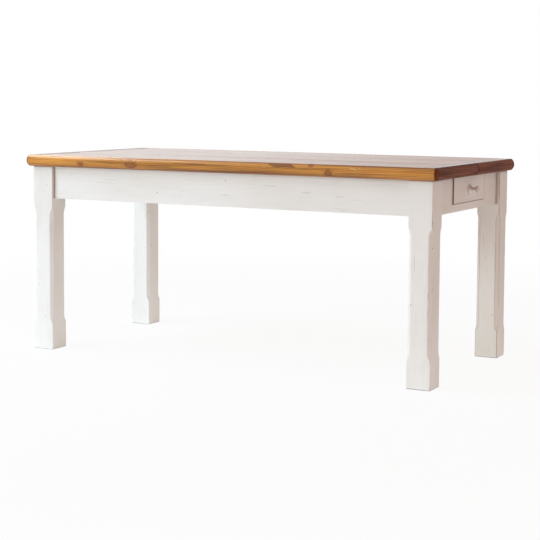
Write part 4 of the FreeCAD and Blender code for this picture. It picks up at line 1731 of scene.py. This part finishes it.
    def ring(self, bench: NodeBench, given: dict[str, Channel], spokes: int) -> Channel:
        """A flat ring round a bolt, with a round or a hexagonal outline."""
        height = given["Length"]
        body = self.lathe(bench, 0.0, height, 2, lambda share: given["Radius"], spokes)
        low, high = -self.bore_margin, height + self.bore_margin
        bore = self.lathe(bench, low, high, 2, lambda share: given["Head Radius"], self.spokes)
        return self.drill(bench, body, bore)

    def washer(self, bench: NodeBench, given: dict[str, Channel]) -> Channel:
        """A round washer."""
        return self.ring(bench, given, 2 * self.spokes)

    def nut(self, bench: NodeBench, given: dict[str, Channel]) -> Channel:
        """A hexagonal nut."""
        return self.ring(bench, given, self.nut_sides)


@dataclass
class Places:
    """Where the solids of a node lie: their seats, their directions and their sizes."""

    seats: Array
    aims: Array
    length: float
    radius: float
    head_radius: float
    head_height: float

    @classmethod
    def read(cls, node: str) -> "Places":
        """Measures the solids of a node.

        Args:
            node: The node.

        Returns:
            The places. A solid with a head has its seat under the head and points away from it.
        """
        seats = []
        aims = []
        for points in solids_of(node):
            spread = np.linalg.svd(points - points.mean(0), full_matrices=False)[2]
            extents = [np.ptp(points @ axis) for axis in spread]
            sizes = np.sort(extents)
            lone = 2 if sizes[2] - sizes[1] > sizes[1] - sizes[0] else 0
            aim = spread[int(np.argsort(extents)[lone])]
            along = points @ aim
            off = points - np.outer(along, aim)
            axis = (off.min(0) + off.max(0)) / 2
            away = np.linalg.norm(off - axis, axis=1)
            if along[away.argmax()] > (along.min() + along.max()) / 2:
                aim, along = -aim, -along
            shank = np.median(away[along > np.quantile(along, 0.5)])
            rim = away.max()
            crown = along.min()
            on_rim = along[away > rim - 1e-5]
            seat = on_rim.max() if rim > 1.3 * shank and np.ptp(along) > 3 * rim else crown
            seats.append(axis + aim * seat)
            aims.append(aim)
        headed = seat > crown
        radius, head_radius = (shank, rim) if headed else (rim, away.min())
        length = along.max() - seat
        return cls(np.array(seats), np.array(aims), length, radius, head_radius, seat - crown)

    def mesh(self, node: str) -> Mesh:
        """A mesh of loose points that carry their directions."""
        mesh = bpy.data.meshes.new(node + "_places")
        mesh.from_pydata([tuple(seat) for seat in self.seats], [], [])
        carry(mesh, AIM, self.aims)
        return mesh


def solids_of(node: str) -> list[Array]:
    """The vertices of each separate solid of a node."""
    shape = bmesh.new()
    shape.from_mesh(frame["nodes"][node].data)
    bmesh.ops.remove_doubles(shape, verts=shape.verts, dist=WELD)
    waiting = set(shape.verts)
    solids = []
    while waiting:
        front = [waiting.pop()]
        found = []
        while front:
            vertex = front.pop()
            found.append(tuple(vertex.co))
            others = {edge.other_vert(vertex) for edge in vertex.link_edges} & waiting
            waiting -= others
            front += others
        solids.append(np.array(sorted(found)))
    shape.free()
    return sorted(solids, key=lambda points: tuple(points.mean(0)))


# Studio and camera
@dataclass(frozen=True)
class Lamp:
    """A rectangular soft light that the camera doesn't see.

    Attributes:
        name: Its name.
        place: Where it hangs.
        aim: The point that it faces.
        along: Roughly the way of its length.
        size: Its width and length.
        power: Its power in watts.
        colour: Its colour.
        card: True if it shows in reflections only, else it shows in none.
    """

    name: str
    place: Spot
    aim: Spot
    along: Spot
    size: Pair
    power: float
    colour: Colour
    card: bool = False

    def hang(self) -> None:
        """Puts the lamp in the scene."""
        light = bpy.data.lights.new(self.name, "AREA")
        light.shape = "RECTANGLE"
        light.size, light.size_y = self.size
        light.energy = self.power
        light.color = self.colour
        lamp = bpy.data.objects.new(self.name, light)
        place = Vector(self.place)
        back = (place - Vector(self.aim)).normalized()
        side = Vector(self.along).cross(back).normalized()
        turned = Matrix((side, back.cross(side), back)).transposed().to_4x4()
        lamp.matrix_world = Matrix.Translation(place) @ turned
        lamp.visible_camera = False
        lamp.visible_diffuse = not self.card
        lamp.visible_glossy = self.card
        bpy.context.scene.collection.objects.link(lamp)


WHITE = (1.0, 1.0, 1.0)
COOL = (0.73, 0.96, 1.0)
LAMPS = (
    Lamp("key", (-3.0, -1.7, 3.75), (-0.7, -0.4, 0.75), (0.0, 0.86, 0.51),
         (1.5, 3.4), 138.0, (0.62, 0.82, 1.0)),
    Lamp("card", (-3.25, -0.3, 3.98), (-0.7, -0.4, 0.75), (0.0, 0.98, -0.18),
         (1.1, 5.1), 176.0, (1.0, 0.93, 0.84), card=True),
    Lamp("fill", (-5.4, -8.0, 3.0), (0.0, 0.0, 0.4), (0.0, 0.0, 1.0), (3.7, 2.7), 266.0, COOL),
    Lamp("back", (0.4, 8.0, 1.6), (0.0, 0.0, 0.4), (0.0, 0.0, 1.0), (4.0, 3.0), 220.0, COOL),
    Lamp("bounce", (0.25, -0.25, 0.001), (0.25, -0.25, 1.0), (0.0, 1.0, 0.0),
         (2.5, 2.0), 6.0, (0.85, 0.97, 1.0)),
)


@dataclass
class Studio:
    """A white floor, a surround that shows white, and soft lights."""

    floor_size: float = 60.0
    floor_white: float = 0.92
    floor_fade: Pair = (1.6, 4.0)
    floor_colour: Colour = (0.9, 0.9, 0.9)
    surround: Colour = (1.0, 0.683, 0.548)
    surround_strength: float = 0.5

    def build(self) -> None:
        """Makes the floor, the surround and the lights."""
        self.floor()
        self.light_surround()
        for lamp in LAMPS:
            lamp.hang()
        bpy.context.scene.view_settings.view_transform = "Standard"

    def floor(self) -> None:
        """Lays the floor, which shows white and keeps the table's shadow."""
        shape = bmesh.new()
        bmesh.ops.create_grid(shape, x_segments=1, y_segments=1, size=self.floor_size / 2)
        floor = to_piece(shape, "studio_floor", SMOOTH_ANGLE)
        floor.data.materials.append(self.floor_material())

    def floor_material(self) -> bpy.types.Material:
        """White to the camera and in reflections, but for the share that takes light and shadow."""
        material = bpy.data.materials.new("studio_floor")
        material.use_nodes = True
        bench = NodeBench(material.node_tree)
        bench.tree.nodes.clear()
        lit = bench.add("ShaderNodeBsdfDiffuse", {"Color": self.floor_colour})
        white = bench.add("ShaderNodeEmission", {"Color": WHITE, "Strength": 1.0})
        far = bench.place().length().smooth(*self.floor_fade)
        share = self.seen(bench) * (self.floor_white + far * (1 - self.floor_white))
        mixed = bench.add("ShaderNodeMixShader", {0: share, 1: lit, 2: white})
        bench.close("ShaderNodeOutputMaterial", mixed)
        return material

    def seen(self, bench: NodeBench) -> Channel:
        """One for rays from the camera and for reflections, else zero."""
        camera = bench.add("ShaderNodeLightPath", None, "Is Camera Ray")
        outputs = camera.socket.node.outputs
        glossy = Channel(bench, outputs["Is Glossy Ray"])
        through = Channel(bench, outputs["Is Transmission Ray"])
        return camera.most(glossy).most(through)

    def light_surround(self) -> None:
        """Sets the surround: white where it is seen, and a softer light on the table."""
        world = bpy.data.worlds.new("studio_surround")
        world.use_nodes = True
        bpy.context.scene.world = world
        bench = NodeBench(world.node_tree)
        bench.tree.nodes.clear()
        skies = ((self.surround, self.surround_strength), (WHITE, 1.0))
        soft, white = (
            bench.add("ShaderNodeBackground", {"Color": colour, "Strength": strength})
            for colour, strength in skies
        )
        links = {0: self.seen(bench), 1: soft, 2: white}
        bench.close("ShaderNodeOutputWorld", bench.add("ShaderNodeMixShader", links))


@dataclass
class PhotoCamera:
    """The camera at the photograph's viewing angle, in a square frame of 540 pixels."""

    frame_pixels: float = 540.0
    focal_pixels: float = 1428.0
    centre_row: float = 205.2
    sensor: float = 36.0
    place: Vector = Vector((2.6468, -5.0019, 1.0453))
    turn: float = math.radians(27.825)
    tilt: float = math.radians(4.635)
    roll: float = math.radians(0.392)

    def build(self) -> None:
        """Makes the camera and puts it to use."""
        lens = bpy.data.cameras.new("photo_camera")
        lens.sensor_width = self.sensor
        lens.lens = self.focal_pixels * self.sensor / self.frame_pixels
        lens.shift_y = (self.centre_row - self.frame_pixels / 2) / self.frame_pixels
        lens.dof.use_dof = False
        camera = bpy.data.objects.new("photo_camera", lens)
        turned = Matrix.Rotation(self.turn, 4, "Z")
        tilted = Matrix.Rotation(math.pi / 2 - self.tilt, 4, "X")
        rolled = Matrix.Rotation(self.roll, 4, "Z")
        camera.matrix_world = Matrix.Translation(self.place) @ turned @ tilted @ rolled
        bpy.context.scene.collection.objects.link(camera)
        bpy.context.scene.camera = camera


def main() -> None:
    """Builds the table, the studio and the camera."""
    logging.basicConfig(level=logging.INFO, format="%(message)s")
    PlankTop().build()
    LegSet().build()
    ApronFrame().build()
    Drawer("right", Seed.RIGHT_DRAWER).build()
    Drawer("left", Seed.LEFT_DRAWER).build()
    SawnBoard("drawer_stops", RAW_PINE, GrainWay.CROSSWISE_UPRIGHT, Seed.STOPS).build()
    Hardware().build()
    Studio().build()
    PhotoCamera().build()


if __name__ == "__main__":
    main()
